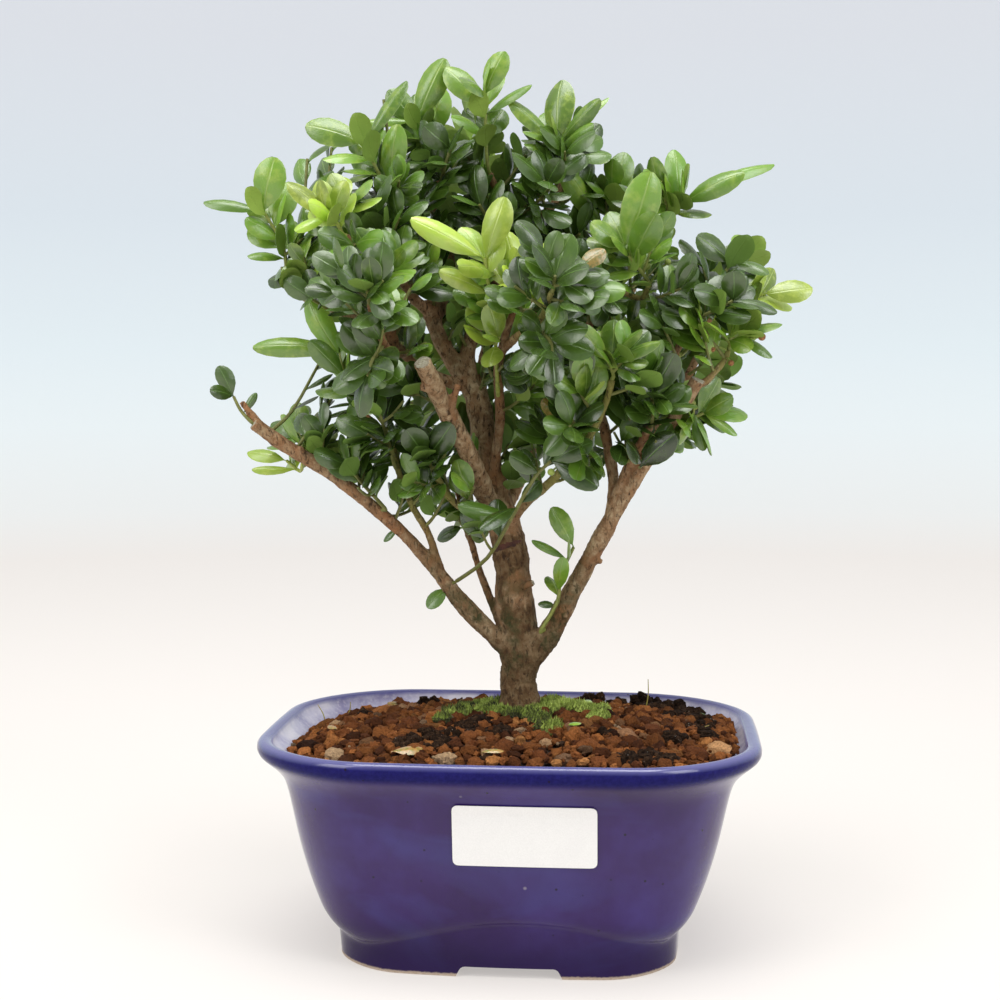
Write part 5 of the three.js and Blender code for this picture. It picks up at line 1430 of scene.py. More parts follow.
def limb_guides():
    """Along every limb: places, and there the way, the thickness and how green it is."""
    guides = []
    for name, rows in [("trunk", TRUNK)] + list(LIMBS.items()) + [("snag", rows) for rows in SNAGS]:
        fine = smooth_rows(rows, 5)
        first = len(guides) + 2
        for here, there in zip(fine[:-1], fine[1:]):
            step = Vector(there[:3]) - Vector(here[:3])
            green = clamp((len(guides) + 1) / 9 - first / 9) if name in GREEN_LIMBS else 0.0
            guides.append((Vector(here[:3]) + step * 0.5, step.normalized(), here[3], green))
    return guides


def bark_relief(wood):
    """Furrows drawn out along each limb, and a tint for how thick and how green it is."""
    guides = limb_guides()
    tree = search_tree([guide[0] for guide in guides])
    spots = points_of(wood)
    normals = np.empty(len(wood.data.vertices) * 3)
    wood.data.vertices.foreach_get("normal", normals)
    normals = normals.reshape(-1, 3)
    tints = np.ones((len(spots), 4))
    for i, place in enumerate(unsettle(spots)):
        place = Vector(place)
        _, way, thick, green = guides[tree.find(place)[1]]
        stout = clamp(max((thick - 3.7) / 1.4, (99 - place.z) / 12))
        tints[i, :3] = clamp((thick - 1.0) / 2.2), green, stout
        drawn = place - way * place.dot(way) * 0.72
        deep = noise.noise(drawn * 0.85) * 0.6 + noise.noise(drawn * 1.9 + Vector((9, 0, 0))) * 0.5
        rough = noise.noise(place * 0.55) * 0.5
        pits = noise.noise(place * 2.6) * 0.4
        amount = (0.09 + 0.055 * min(thick, 6.0)) * (deep + rough + pits)
        spots[i] += normals[i] * amount * MM
    move_points(wood, spots)
    tint_layer(wood).data.foreach_set("color", tints.ravel())


# Where wood is cut across: place, the way it faces, and reach.
CUT_ENDS = [
    ((-23, -38, 178), (-5, -12, 13), 3.6), ((-27, 13, 198), (-1, 1, 7), 4.4),
    ((-76, -22, 160), (-9, -4, 7), 2.2), ((56, -15, 173), (6, -3, 10), 3.0),
    ((6.5, -1.5, 110.6), (2.5, -1.5, 1), 1.6), ((7.2, -15.8, 197), (0, -1, 3), 1.4),
]
# The old scar on the front of the trunk.
SCAR_X = -2.2
SCAR_Z = 121.6
SCAR_REACH = 5.0
SCAR_RISE = 0.95
SCAR_SLOPE = 0.34
SCAR_FRONT = 3.5


def mark_cuts(wood):
    """Cut ends get the material of cut wood, and the old scar on the trunk its own."""
    for face in wood.data.polygons:
        place = Vector(in_millimetres(face.center))
        for end, way, reach in CUT_ENDS:
            gap = place - Vector(end)
            if gap.length < reach and face.normal.dot(Vector(way).normalized()) > 0.72:
                face.material_index = 1
        across = place.x - SCAR_X
        raised = place.z - SCAR_Z - SCAR_SLOPE * across
        if place.y < SCAR_FRONT and (across / SCAR_REACH) ** 2 + (raised / SCAR_RISE) ** 2 < 1:
            face.material_index = 2


def cut_wood_material():
    material, tree, shader = start_material("cut_wood")
    cloud, fine, _ = mottle(tree, 420, 1600)
    colour = colour_ramp(tree, fine, (
        (0.3, (0.22, 0.19, 0.13)), (0.55, (0.42, 0.39, 0.29)), (0.75, (0.58, 0.56, 0.45))))
    colour = blend_colours(tree, spread(tree, cloud, 0.5, 0.65, 0.0, 0.7), colour, (0.19, 0.13, 0.085))
    coat(tree, shader, colour, 0.88, (fine, 0.0006, 0.9))
    return material


def scar_material():
    material, tree, shader = start_material("old_scar")
    cloud, fine, _ = mottle(tree, 300, 1200)
    colour = colour_ramp(tree, cloud, ((0.35, (0.030, 0.010, 0.007)), (0.6, (0.11, 0.034, 0.020))))
    coat(tree, shader, colour, 0.7, (fine, 0.0008, 0.9))
    return material


# Leaves: the same growth rule as in the part's source, with every place on each stem filled.
STEM_RISE = 1.1
STEM_GAP = 0.35
LEAF_WIDTH = 0.58
LEAF_DROOP = 0.05
LEAF_START = 0.25
LEAF_TURN = 2.39996
LEAF_ROOT_SPREAD = 1.2
LEAF_TIP_SPREAD = 0.6
SLOTS_PER_LEAF = 3
LEAF_TRIES = 8
SOLID_HALF = 0.35
SOLID_LEAN = 0.35
SHOOT_LEAN = 0.7
FILL_LEAN = 0.9
SHOOT_ROOM = 1.2
TWIG_ROOM = 1.3
MIDDLE_DEPTH = 14
FILL_LENGTHS = (9.6, 12.4)
CROWDED = 5


def draw(a, b):
    value = math.sin(a * 12.9898 + b * 78.233) * 43758.5453
    return value - math.floor(value)


def along_path(points, share):
    """Place and direction at a share of the length of a path, and the span that it is on."""
    lengths = [(there - here).length for here, there in zip(points[:-1], points[1:])]
    left = sum(lengths) * share
    span = 0
    while span < len(lengths) - 1 and left > lengths[span]:
        left -= lengths[span]
        span += 1
    part = min(1, left / lengths[span])
    along = (points[span + 1] - points[span]).normalized()
    return points[span].lerp(points[span + 1], part), along, span, part


def stem_path(limb, share, stem):
    """The stem's points, and the middle of the limb that it grows from."""
    rows = LIMBS[limb]
    place, along, span, part = along_path([Vector(row[:3]) for row in rows], share)
    radius = rows[span][3] + (rows[span + 1][3] - rows[span][3]) * part
    points = [Vector(point) for point in stem]
    out = along
    start = place + along * STEM_GAP
    if share < 1:
        out = points[0] - place
        out = (out - along * out.dot(along)).normalized()
        start = place + out * (radius + STEM_GAP)
    return [start, start + out * STEM_RISE, *points], place


def facing_from_roll(root, tip, roll):
    along = (tip - root).normalized()
    front = (Vector((0, -1, 0)) + along * along.y).normalized()
    side = front.cross(along)
    if side.z < -0.2:
        side.negate()
    angle = math.radians(roll)
    return front * math.cos(angle) + side * math.sin(angle)


def front_lean(place, lean):
    """Leaves high on the front turn their faces to the light before them."""
    if lean <= SOLID_LEAN or place.y > MIDDLE_DEPTH:
        return Vector()
    return Vector((0, -0.7, 0)) * clamp((place.z - 140) / 70)


def ruled_leaf(path, slot, slots, length, seed, attempt, lean=SOLID_LEAN):
    """One leaf of a ruled stem; lean is how far its face turns out from the middle of the tree."""
    share = LEAF_START + (1 - LEAF_START) * (slot + 0.5) / slots
    place, along, _, _ = along_path(path, share)
    across = UP.cross(along)
    if across.length < 0.2:
        across = Vector((1, 0, 0)).cross(along)
    across.normalize()
    third = along.cross(across)
    turn = slot * LEAF_TURN + seed + attempt * 0.7
    spread_out = LEAF_ROOT_SPREAD + (LEAF_TIP_SPREAD - LEAF_ROOT_SPREAD) * share
    opened = spread_out + (draw(slot + attempt * 17, seed) - 0.5) * 0.5
    radial = across * math.cos(turn) + third * math.sin(turn)
    way = along * math.cos(opened) + radial * math.sin(opened)
    way = (way + UP * 0.2).normalized()
    long = length * (0.82 + 0.3 * draw(slot + 3, seed))
    outward_way = Vector((place.x, place.y, 0)).normalized()
    facing = along * 0.4 + UP * 0.7 + outward_way * lean + front_lean(place, lean)
    return place, place + way * long, facing, long * LEAF_WIDTH


def placed_leaf(path, entry, seed, attempt):
    share, x, y, z, width, roll = entry
    root = along_path(path, share)[0]
    tip = Vector((x, y, z))
    if attempt > 0:
        tip.y += (draw(attempt, seed) - 0.5) * 6
        tip.z += (draw(attempt + 9, seed) - 0.5) * 2
        roll = roll + (draw(attempt + 4, seed) - 0.5) * 40
    return root, tip, facing_from_roll(root, tip, roll), width


def leaf_axes(root, tip, facing):
    along = tip - root
    length = along.length
    along.normalize()
    up = (facing - along * facing.dot(along)).normalized()
    return length, along.cross(up), along, up


def leaf_probe(leaf):
    """Nine points spread over a blade."""
    root, tip, facing, width = leaf
    length, across, along, up = leaf_axes(root, tip, facing)
    return np.array([root + along * length * t + across * width * u + up * length * 0.04
                     for t in (0.36, 0.66, 0.96) for u in (-0.36, 0, 0.36)])


class Canopy:
    """What leaves keep clear of: the leaves set before them, and the limbs."""

    def __init__(self):
        self.probes = np.empty((0, 9, 3))
        self.middles = np.empty((0, 3))
        wood = []
        for rows in [TRUNK] + list(LIMBS.values()):
            for row in smooth_rows(rows, 5):
                wood.append(row)
        self.wood = np.array(wood)

    def add(self, leaf):
        probe = leaf_probe(leaf)
        self.probes = np.concatenate((self.probes, probe[None]))
        self.middles = np.concatenate((self.middles, probe.mean(axis=0)[None]))

    def room(self, leaf):
        probe = leaf_probe(leaf)
        middle = probe.mean(axis=0)
        away = np.linalg.norm(self.wood[:, None, :3] - probe[None], axis=2) - self.wood[:, 3, None]
        if away.min() < 0.5:
            return -1.0
        near = np.linalg.norm(self.middles - middle, axis=1) < 17
        if not near.any():
            return 9.0
        others = self.probes[near].reshape(-1, 3)
        return float(np.linalg.norm(others[:, None] - probe[None], axis=2).min())


def picture_place(point):
    """Where a point in millimetres falls in the picture, and how far off it is."""
    look = VIEW_WAY * math.cos(CAMERA_PITCH) - UP * math.sin(CAMERA_PITCH)
    over = VIEW_SIDE.cross(look)
    gap = Vector(point) - EYE
    depth = gap.dot(look)
    x = 0.5 + CAMERA_FOCAL * gap.dot(VIEW_SIDE) / depth
    y = 0.5 - CAMERA_FOCAL * gap.dot(over) / depth
    return x, y, depth


# Outline of the crown as the camera sees it, in shares of the picture.
CROWN_OUTLINE = [
    (0.262, 0.180), (0.285, 0.150), (0.330, 0.125), (0.368, 0.118), (0.398, 0.128), (0.412, 0.092),
    (0.430, 0.070), (0.480, 0.066), (0.500, 0.118), (0.540, 0.128), (0.553, 0.100), (0.590, 0.116),
    (0.602, 0.150), (0.640, 0.163), (0.682, 0.163), (0.700, 0.186), (0.680, 0.212), (0.674, 0.234),
    (0.702, 0.236), (0.735, 0.248), (0.752, 0.262), (0.770, 0.270), (0.772, 0.310), (0.768, 0.335),
    (0.742, 0.345), (0.728, 0.362), (0.722, 0.385), (0.730, 0.410), (0.712, 0.435), (0.690, 0.450),
    (0.650, 0.465), (0.612, 0.466), (0.600, 0.486), (0.560, 0.486), (0.542, 0.500), (0.526, 0.525),
    (0.500, 0.535), (0.470, 0.540), (0.455, 0.522), (0.430, 0.503), (0.400, 0.500), (0.350, 0.476),
    (0.300, 0.456), (0.284, 0.440), (0.288, 0.412), (0.315, 0.400), (0.318, 0.372), (0.335, 0.350),
    (0.320, 0.325), (0.300, 0.302), (0.286, 0.284), (0.268, 0.276), (0.264, 0.252), (0.276, 0.235),
    (0.262, 0.212),
]
# Limbs that show between the leaves: from and to which share, and how much of the picture stays clear
# beside them.
OPEN_LIMBS = {
    "cut_stub": (0.0, 1.0, 0.0125), "left_limb": (0.0, 1.0, 0.0125), "right_limb": (0.0, 0.72, 0.0125),
    "right_snag": (0.0, 0.7, 0.010), "left_leader": (0.0, 1.0, 0.011), "right_leader": (0.0, 0.7, 0.009),
    "brown_riser": (0.0, 0.85, 0.008), "left_snag": (0.1, 0.8, 0.007), "crown_left": (0.0, 0.5, 0.008),
    "right_fork": (0.0, 0.35, 0.008), "slender_riser": (0.3, 0.7, 0.006), "crown_mid": (0.2, 0.5, 0.006),
}

# Stretches of the trunk that show: from and to which height, and how much stays clear beside them.
OPEN_TRUNK = ((68, 128, 0.026), (136, 180, 0.012))
# How far a leaf's end stays inside the solids' box, in metres.
BOX_EDGE = 0.0018
# Round gaps where the sky shows through: place in the picture and reach.
SKY_GAPS = [
    (0.395, 0.395, 0.015), (0.350, 0.348, 0.012), (0.615, 0.420, 0.015), (0.571, 0.343, 0.007),
    (0.579, 0.401, 0.008), (0.448, 0.420, 0.007), (0.462, 0.127, 0.010), (0.600, 0.225, 0.010),
    (0.560, 0.343, 0.006), (0.430, 0.395, 0.006),
]


def in_crown(point):
    x, y, _ = picture_place(point)
    inside = False
    for (ax, ay), (bx, by) in zip(CROWN_OUTLINE, CROWN_OUTLINE[1:] + CROWN_OUTLINE[:1]):
        if (ay > y) != (by > y) and x < (bx - ax) * (y - ay) / (by - ay) + ax:
            inside = not inside
    return inside


def open_spots():
    """Points on the limbs that show in front, with the picture radius that leaves keep clear."""
    spots = []
    for name, (start, end, reach) in OPEN_LIMBS.items():
        points = [Vector(row[:3]) for row in LIMBS[name]]
        for i in range(25):
            place = along_path(points, start + (end - start) * i / 24)[0]
            spots.append((*picture_place(place), reach))
    for row in smooth_rows(TRUNK, 3):
        for low, high, reach in OPEN_TRUNK:
            if low < row[2] < high:
                spots.append((*picture_place(row[:3]), reach))
    return spots


OPEN_SPOTS = open_spots()


def in_box(point):
    """Whether a leaf that ends here keeps inside the solids' box."""
    x, y, z = at(point)
    low, high = cad_box
    inside_x = low[0] + BOX_EDGE < x < high[0] - BOX_EDGE
    inside_y = low[1] + BOX_EDGE < y < high[1] - BOX_EDGE
    return inside_x and inside_y and z < high[2] - BOX_EDGE


def hides_wood(leaf):
    for share in (0.3, 0.65, 1.0):
        x, y, depth = picture_place(leaf[0].lerp(leaf[1], share))
        if any(math.hypot(x - sx, y - sy) < reach for sx, sy, reach in SKY_GAPS):
            return True
        for sx, sy, far, reach in OPEN_SPOTS:
            if depth < far and math.hypot(x - sx, y - sy) < reach:
                return True
    return False


# A blade in units of its own width and length: where its rows lie and how wide they are.
BLADE_ROWS = [0, 0.07, 0.18, 0.34, 0.52, 0.69, 0.84, 0.945, 1.0]
BLADE_HALVES = [0.05, 0.07, 0.40, 0.80, 0.98, 0.99, 0.80, 0.50, 0.16]


def leaf_pattern():
    """One leaf: a fine grid pressed to its outline, with a second sheet closed on under it."""
    last = len(BLADE_ROWS) - 1
    leaf = add_shape(bpy.ops.mesh.primitive_grid_add, x_subdivisions=4, y_subdivisions=last, size=1)
    leaf.name = "leaf_pattern"
    leaf.data.uv_layers[0].name = "blade"
    bpy.ops.object.mode_set(mode="EDIT")
    bpy.ops.mesh.select_all(action="SELECT")
    bpy.ops.mesh.duplicate()
    bpy.ops.mesh.flip_normals()
    bpy.ops.object.mode_set(mode="OBJECT")
    spots = points_of(leaf)
    sheet = len(spots) // 2
    u = spots[:, 0] * 2
    row = np.rint((spots[:, 1] + 0.5) * last).astype(int)
    t = np.array(BLADE_ROWS)[row]
    half = np.array(BLADE_HALVES)[row] * 0.5
    under = np.arange(len(spots)) >= sheet
    inner = (1 - np.abs(u) ** 2) * np.where((row == 0) | (row == last), 0.0, 1.0)
    lift = 0.30 * t * (1 - t) - 0.05 * t ** 3
    lift -= 0.085 * np.abs(u) ** 1.8 * half * 2
    lift -= np.where(np.abs(u) < 0.1, 0.010, 0.0) * (inner > 0)
    lift -= np.where(under, 0.032 * inner, 0.0)
    move_points(leaf, np.stack((u * half, t, lift), axis=1))
    # The underside's places in the blade map lie two to the right, which tells it apart.
    seats = leaf.data.uv_layers["blade"].data
    faces = len(leaf.data.polygons) // 2
    for face in leaf.data.polygons[faces:]:
        for loop in face.loop_indices:
            seats[loop].uv[0] += 2
    outward(leaf)
    add_tint(leaf, (0.5, 0.5, 0))
    return leaf


def leaf_copy(pattern, leaf, tint, rng):
    """The pattern laid along one leaf, each a little bent, twisted and swept its own way."""
    root, tip, facing, width = leaf
    length, across, along, up = leaf_axes(root, tip, facing)
    made = copy_of(pattern, tint)
    spots = points_of(made)
    side, run, lift = spots[:, 0] * width, spots[:, 1], spots[:, 2] * length
    bend = rng.uniform(-0.10, 0.10) * length
    sweep = rng.uniform(-0.05, 0.05) * length
    twist = rng.uniform(-0.35, 0.35)
    cup = rng.uniform(-0.02, 0.10) * (1 + max(0, rng.gauss(0, 0.6)))
    lift = lift + bend * run * (1 - run) - cup * side ** 2 / max(width, 1) * 2
    turn = twist * run
    sideways = side * np.cos(turn) - (lift - 0.1) * np.sin(turn) + sweep * run * (1 - run) * 2
    raised = lift + side * np.sin(turn)
    laid = (np.asarray(root) + np.outer(sideways, across) + np.outer(run * length, along)
            + np.outer(raised, up))
    move_points(made, np.clip(settle(laid), *cad_box))
    return made


def leaf_tint(age, rng):
    """Age, shade and wear of one leaf on a shoot of a given age; the shade is partly the leaf's own tone
    and partly painted light and shade.
    """
    grown = clamp(age + rng.gauss(0, 0.09))
    wear = 0.55 if age < 0.3 and rng.random() < 0.004 else 0.0
    return grown, clamp(rng.gauss(0.45, 0.2)), wear


def solid_tips(node):
    """The corner points of a CAD shoot, in millimetres, for finding which leaves stand in it."""
    return search_tree(unsettle(points_of(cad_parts[node])))


def standing(tree, attempts):
    """The attempt whose tip is found in the CAD shoot, or None."""
    for attempt in range(LEAF_TRIES):
        leaf = attempts(attempt)
        root, tip, facing, _ = leaf
        length, _, _, up = leaf_axes(root, tip, facing)
        corner = tip + up * (SOLID_HALF - LEAF_DROOP * length)
        if tree.find(corner)[2] < 0.06:
            return leaf
    return None


def turned_out(leaf):
    """The leaf with its face turned some way to the front, where it stands there."""
    root, tip, facing, width = leaf
    if root.y < MIDDLE_DEPTH:
        facing = facing.normalized() + Vector((0, -0.45, 0))
    return root, tip, facing, width


def best_free(canopy, attempts, room):
    """The first attempt at a leaf that hides nothing and has room, or None."""
    for attempt in range(LEAF_TRIES):
        leaf = attempts(attempt)
        if hides_wood(leaf) or not in_box(leaf[1]):
            continue
        if canopy.room(leaf) > room:
            return leaf
    return None


def twig_way(along, angle, forward, rise):
    """Direction of a side twig: round its limb by an angle, drawn forward and up."""
    across = UP.cross(along)
    across = across.normalized() if across.length > 0.2 else Vector((1, 0, 0))
    way = along * forward + across * math.cos(angle) + along.cross(across) * math.sin(angle) + UP * rise
    return way.normalized()


def leafy_twig(canopy, rng, root, way, long, leaves, leaf_long, age):
    """A short side twig and the leaves that find room on it."""
    side = way.cross(UP).normalized() if way.cross(UP).length > 0.1 else Vector((1, 0, 0))
    middle = root + way * long * 0.45 + side * rng.uniform(-0.6, 0.6)
    path = [root, middle, root + way * long + UP * long * rng.uniform(0.05, 0.3)]
    seed = rng.uniform(0, 90)
    found = []
    for slot in range(leaves):
        attempts = partial(ruled_leaf, path, slot, leaves, leaf_long, seed, lean=FILL_LEAN)
        leaf = best_free(canopy, attempts, TWIG_ROOM)
        if leaf and (in_crown(leaf[1]) or leaf[1].y > 8 and in_crown(leaf[1].lerp(leaf[0], 0.3))):
            found.append((leaf, leaf_tint(age, rng)))
            canopy.add(leaf)
    return path, found


# How old the leaves of a fill twig are, and how often.
FILL_AGES = (0.0, 0.18, 0.42)
FILL_SHARES = (0.55, 0.28, 0.17)

# How many leafy twigs fill the crown from each limb.
UPPER_TRUNK = TRUNK[6:]
FILL_LIMBS = {
    "left_leader": 4, "right_leader": 5, "brown_riser": 6, "front_bough": 6, "left_snag": 6,
    "west_riser": 6, "front_left": 6, "left_riser": 4, "crown_left": 6, "crown_nw": 6, "crown_top": 8,
    "crown_mid": 9, "crown_right": 8, "crown_east": 9, "back_left": 12, "back_mid": 13, "back_right": 12,
    "east_bough": 10, "right_fork": 9, "fork_spur": 4, "right_tip": 2, "right_snag": 5, "east_front": 5,
    "slender_riser": 6, "left_twig": 4, "green_west": 4, "back_twig": 3, "right_limb": 5, "left_limb": 5,
    "trunk": 8,
}

# Twigs that fill hollows of the crown: the limb, how far along it, and where the twig ends.
HOLLOW_TWIGS = [
    ("left_limb", 0.86, (-55, -8, 166)), ("left_limb", 0.8, (-53, -10, 157)),
    ("left_limb", 0.95, (-60, -2, 172)), ("left_snag", 0.55, (-55, 2, 170)),
    ("slender_riser", 0.3, (3, 9, 158)), ("slender_riser", 0.45, (6, 13, 167)),
    ("left_twig", 0.3, (-19, 9, 127)), ("left_limb", 0.55, (-31, 5, 130)),
    ("crown_nw", 0.9, (-39, -5, 252)), ("west_riser", 0.8, (-62, -8, 233)),
    ("west_riser", 0.6, (-57, 5, 236)), ("west_riser", 0.5, (-72, 0, 203)),
    ("left_snag", 0.9, (-68, 6, 198)), ("east_bough", 0.3, (26, 10, 200)),
    ("left_leader", 0.9, (-27, 20, 213)), ("right_fork", 0.6, (29, 18, 188)),
    ("crown_right", 0.9, (23, 0, 248)),
]

# Single leaves on bare wood: the limb, root, tip and width.
LONE_LEAVES = [
    ("left_limb", (-20.3, -0.8, 108.6), (-26.4, -4, 102.9), 5.6),
    ("left_limb", (-35.0, -6.2, 127.6), (-39.6, -6.5, 123.6), 2.6),
    ("right_limb", (13.4, 2.4, 102.6), (7.6, 3, 103.6), 2.8),
    ("back_twig", (-16.5, 12, 128.5), (-22, 9, 133.5), 6.0),
    ("back_twig", (-16.8, 12, 126.5), (-25.5, 13, 122.5), 5.0),
    ("back_twig", (-14.5, 12, 121.5), (-9.5, 10, 127.5), 4.6),
]
# Berries and dry flower cups, with their radius and tint.
BERRIES = [
    ((40.8, -18, 206.2), 1.25, (0.62, 0.5, 0)), ((46.9, -18, 207.3), 1.0, (0.62, 0.5, 0)),
    ((74.5, -16, 185.5), 1.15, (0.1, 0.5, 1)), ((-42.1, -18, 161.3), 1.25, (0.1, 0.5, 1)),
    ((60.1, -14, 182), 1.0, (0.1, 0.5, 1)), ((65.7, -14, 177.9), 0.9, (0.1, 0.5, 1)),
    ((13.3, -26, 146), 1.1, (0.7, 0.5, 0)),
]
# Leaves that lie on the soil: place, heading, length, width and tint.
FALLEN_LEAVES = [
    ((-31, -47), 0.3, 9.0, 4.6, (0.2, 0.4, 1.0)), ((18.4, -24.3), 0.7, 4.6, 2.6, (0.6, 0.6, 0.0)),
    ((60, 12.6), 2.1, 4.0, 2.2, (0.6, 0.6, 0.0)), ((22, 14), 1.2, 4.2, 2.6, (0.8, 0.6, 0.0)),
    ((-5, -50), 0.1, 6.4, 2.4, (0.2, 0.7, 1.0)), ((-52, -18), 2.4, 5.0, 2.0, (0.2, 0.5, 1.0)),
    ((-40, 30), 4.0, 5.4, 2.2, (0.2, 0.3, 1.0)),
]
# Dry straws that stand in the soil: foot, then how far the tip lies from it.
STRAWS = [
    ((41.0, 22.0), (0.9, -0.5, 11.0)), ((-61.0, 10.0), (-2.6, -0.6, 7.5)),
    ((-57.0, 24.0), (1.5, -0.8, 6.0)), ((-50.0, 30.0), (5.0, -1.5, 2.0)), ((57.0, -6.0), (3.4, -1.2, 2.0)),
]
STRAW_TINT = (0.75, 0.5, 0.75)
# Longest stalk that a berry hangs on.
STALK_REACH = 14


def hung_berry(canopy, place, radius, tint):
    """A berry on a fine stalk from the nearest limb."""
    berry = add_shape(bpy.ops.mesh.primitive_uv_sphere_add,
                      segments=12, ring_count=8, radius=radius * MM, location=at(place))
    bpy.ops.object.transform_apply(location=True)
    add_tint(berry, tint)
    gaps = np.linalg.norm(canopy.wood[:, :3] - np.array(place), axis=1)
    limb = Vector(canopy.wood[gaps.argmin(), :3])
    if gaps.min() > STALK_REACH:
        return [berry]
    middle = (Vector(place) + limb) / 2 + UP * 0.8
    stalk = tube(smooth_rows([(*place, 0.3), (*middle, 0.3), (*limb, 0.4)], 4), 1)
    add_tint(stalk, (0.6, 0.5, 0))
    return [berry, stalk]


def make_berries(canopy):
    parts = []
    for place, radius, tint in BERRIES:
        parts.extend(hung_berry(canopy, place, radius, tint))
    finish_piece(join(parts, "berries_and_cups"), 50, berry_material(), "leaf_grown")


def make_fallen(pattern, look):
    """Leaves that lie on the soil, and dry straws that stand in it."""
    rng = random.Random(97)
    parts = []
    for (x, y), heading, long, width, tint in FALLEN_LEAVES:
        root = Vector((x, y, soil_height(x, y) + 1.6))
        tip = root + Vector((math.cos(heading), math.sin(heading), 0.12)) * long
        parts.append(leaf_copy(pattern, (root, tip, UP + Vector((0.1, -0.3, 0)), width), tint, rng))
    for (x, y), reach in STRAWS:
        foot = Vector((x, y, soil_height(x, y) - 0.6))
        middle = foot + Vector(reach) * 0.5 + Vector((0.5, 0, 0.4))
        tip = foot + Vector(reach)
        straw = tube(smooth_rows([(*foot, 0.22), (*middle, 0.18), (*tip, 0.12)], 4), 1)
        add_tint(straw, STRAW_TINT)
        parts.append(straw)
    finish_piece(join(parts, "fallen_leaves"), 50, look, "leaf_old")


def leaf_slot(age):
    """The slot of a shoot's leaves by their age."""
    if age < 0.2:
        return "leaf_old"
    return "leaf_grown" if age < 0.6 else "leaf_young"


def solid_leaves(order, row, path):
    """The leaves that one shoot's solid holds."""
    name, _, _, _, ruled, length, _, grown = row
    tree = solid_tips("shoot_" + name)
    found = []
    for i, entry in enumerate(grown):
        found.append(standing(tree, partial(placed_leaf, path, entry, order * 10 + i)))
    slots = ruled * SLOTS_PER_LEAF
    for slot in range(1, slots, SLOTS_PER_LEAF):
        found.append(standing(tree, partial(ruled_leaf, path, slot, slots, length, order)))
    return [leaf for leaf in found if leaf]


def filled_slots(order, row, path, canopy, rng):
    """Leaves on the places of a shoot's stem that its solid leaves free."""
    _, _, _, _, ruled, length, age, _ = row
    slots = ruled * SLOTS_PER_LEAF
    long = length * (0.92 if age > 0.3 else 0.84)
    leaves = []
    for slot in range(slots):
        if slot % SLOTS_PER_LEAF == 1 or ruled >= CROWDED and draw(slot, order) < 0.35:
            continue
        attempts = partial(ruled_leaf, path, slot, slots, long, order, lean=SHOOT_LEAN)
        leaf = best_free(canopy, attempts, SHOOT_ROOM)
        if leaf and (in_crown(leaf[1]) or (leaf[1] - leaf[0]).length < 14 and in_crown(leaf[0])):
            leaves.append((leaf, leaf_tint(age * 0.9, rng)))
            canopy.add(leaf)
    return leaves


def make_shoots(canopy, rng, kit):
    """First the leaves that the solids hold, so that all the others keep clear of them."""
    held = []
    for order, row in enumerate(SHOOTS):
        path, origin = stem_path(*row[1:4])
        found = solid_leaves(order, row, path)
        for leaf in found:
            canopy.add(leaf)
        held.append((path, origin, found))
    for order, (row, (path, origin, found)) in enumerate(zip(SHOOTS, held)):
        name, ruled, age = row[0], row[4], row[6]
        leaves = [(turned_out(leaf), leaf_tint(age, rng)) for leaf in found]
        leaves.extend(filled_slots(order, row, path, canopy, rng))
        twigs = [([origin] + path, 0.72, 0.5)]
        for k in range(1 + (ruled > 3)):
            root, along, _, _ = along_path(path, 0.35 + 0.3 * k)
            way = twig_way(along, order * 1.7 + k * 2.6, 0.5, 0.25)
            twig, found = leafy_twig(canopy, rng, root, way, rng.uniform(6, 10), 7, 10.8, age * 0.8)
            if found:
                twigs.append((twig, 0.5, 0.38))
                leaves.extend(found)
        finish_spray("leafy_" + name, kit, leaves, twigs, age, rng, leaf_slot(age), "shoot_" + name)


def ruled_twigs(points, wanted, canopy, rng):
    """Leafy twigs spaced along a limb, each to the first of five sides where it has room."""
    leaves, twigs = [], []
    for k in range(wanted):
        root, along, _, _ = along_path(points, min(0.97, 0.30 + 0.68 * (k + 0.5) / wanted))
        for turn in range(5):
            way = twig_way(along, k * LEAF_TURN + turn * 1.3 + wanted, 0.35, 0.3)
            end = root + way * 16
            if not (in_crown(end) and in_crown(root + way * 9)) or end.z < 118:
                continue
            age = rng.choices(FILL_AGES, FILL_SHARES)[0]
            long = rng.uniform(9, 15)
            twig, found = leafy_twig(canopy, rng, root, way, long, 9, rng.uniform(*FILL_LENGTHS), age)
            if len(found) > 2:
                leaves.extend(found)
                twigs.append((twig, 0.6, 0.4))
                break
    return leaves, twigs


def fill_limbs(canopy, rng, kit):
    """Between the shoots: more leafy twigs on each limb, and single leaves on bare wood."""
    for limb, wanted in FILL_LIMBS.items():
        rows = UPPER_TRUNK if limb == "trunk" else LIMBS[limb]
        points = [Vector(row[:3]) for row in rows]
        leaves, twigs = ruled_twigs(points, wanted, canopy, rng)
        for name, share, end in HOLLOW_TWIGS:
            if name == limb:
                root = along_path(points, share)[0]
                gap = Vector(end) - root
                twig, found = leafy_twig(canopy, rng, root, gap.normalized(), gap.length, 9, 11.5, 0.15)
                leaves.extend(found)
                twigs.append((twig, 0.6, 0.45))
        for name, root, tip, width in LONE_LEAVES:
            if name == limb:
                root, tip = Vector(root), Vector(tip)
                leaves.append(((root, tip, Vector((0, -0.8, 0.6)), width), leaf_tint(0.1, rng)))
                twigs.append(([root, root.lerp(tip, 0.1), root.lerp(tip, 0.2)], 0.4, 0.3))
        if leaves:
            finish_spray("spray_" + limb, kit, leaves, twigs, 0.0, rng, "leaf_old")


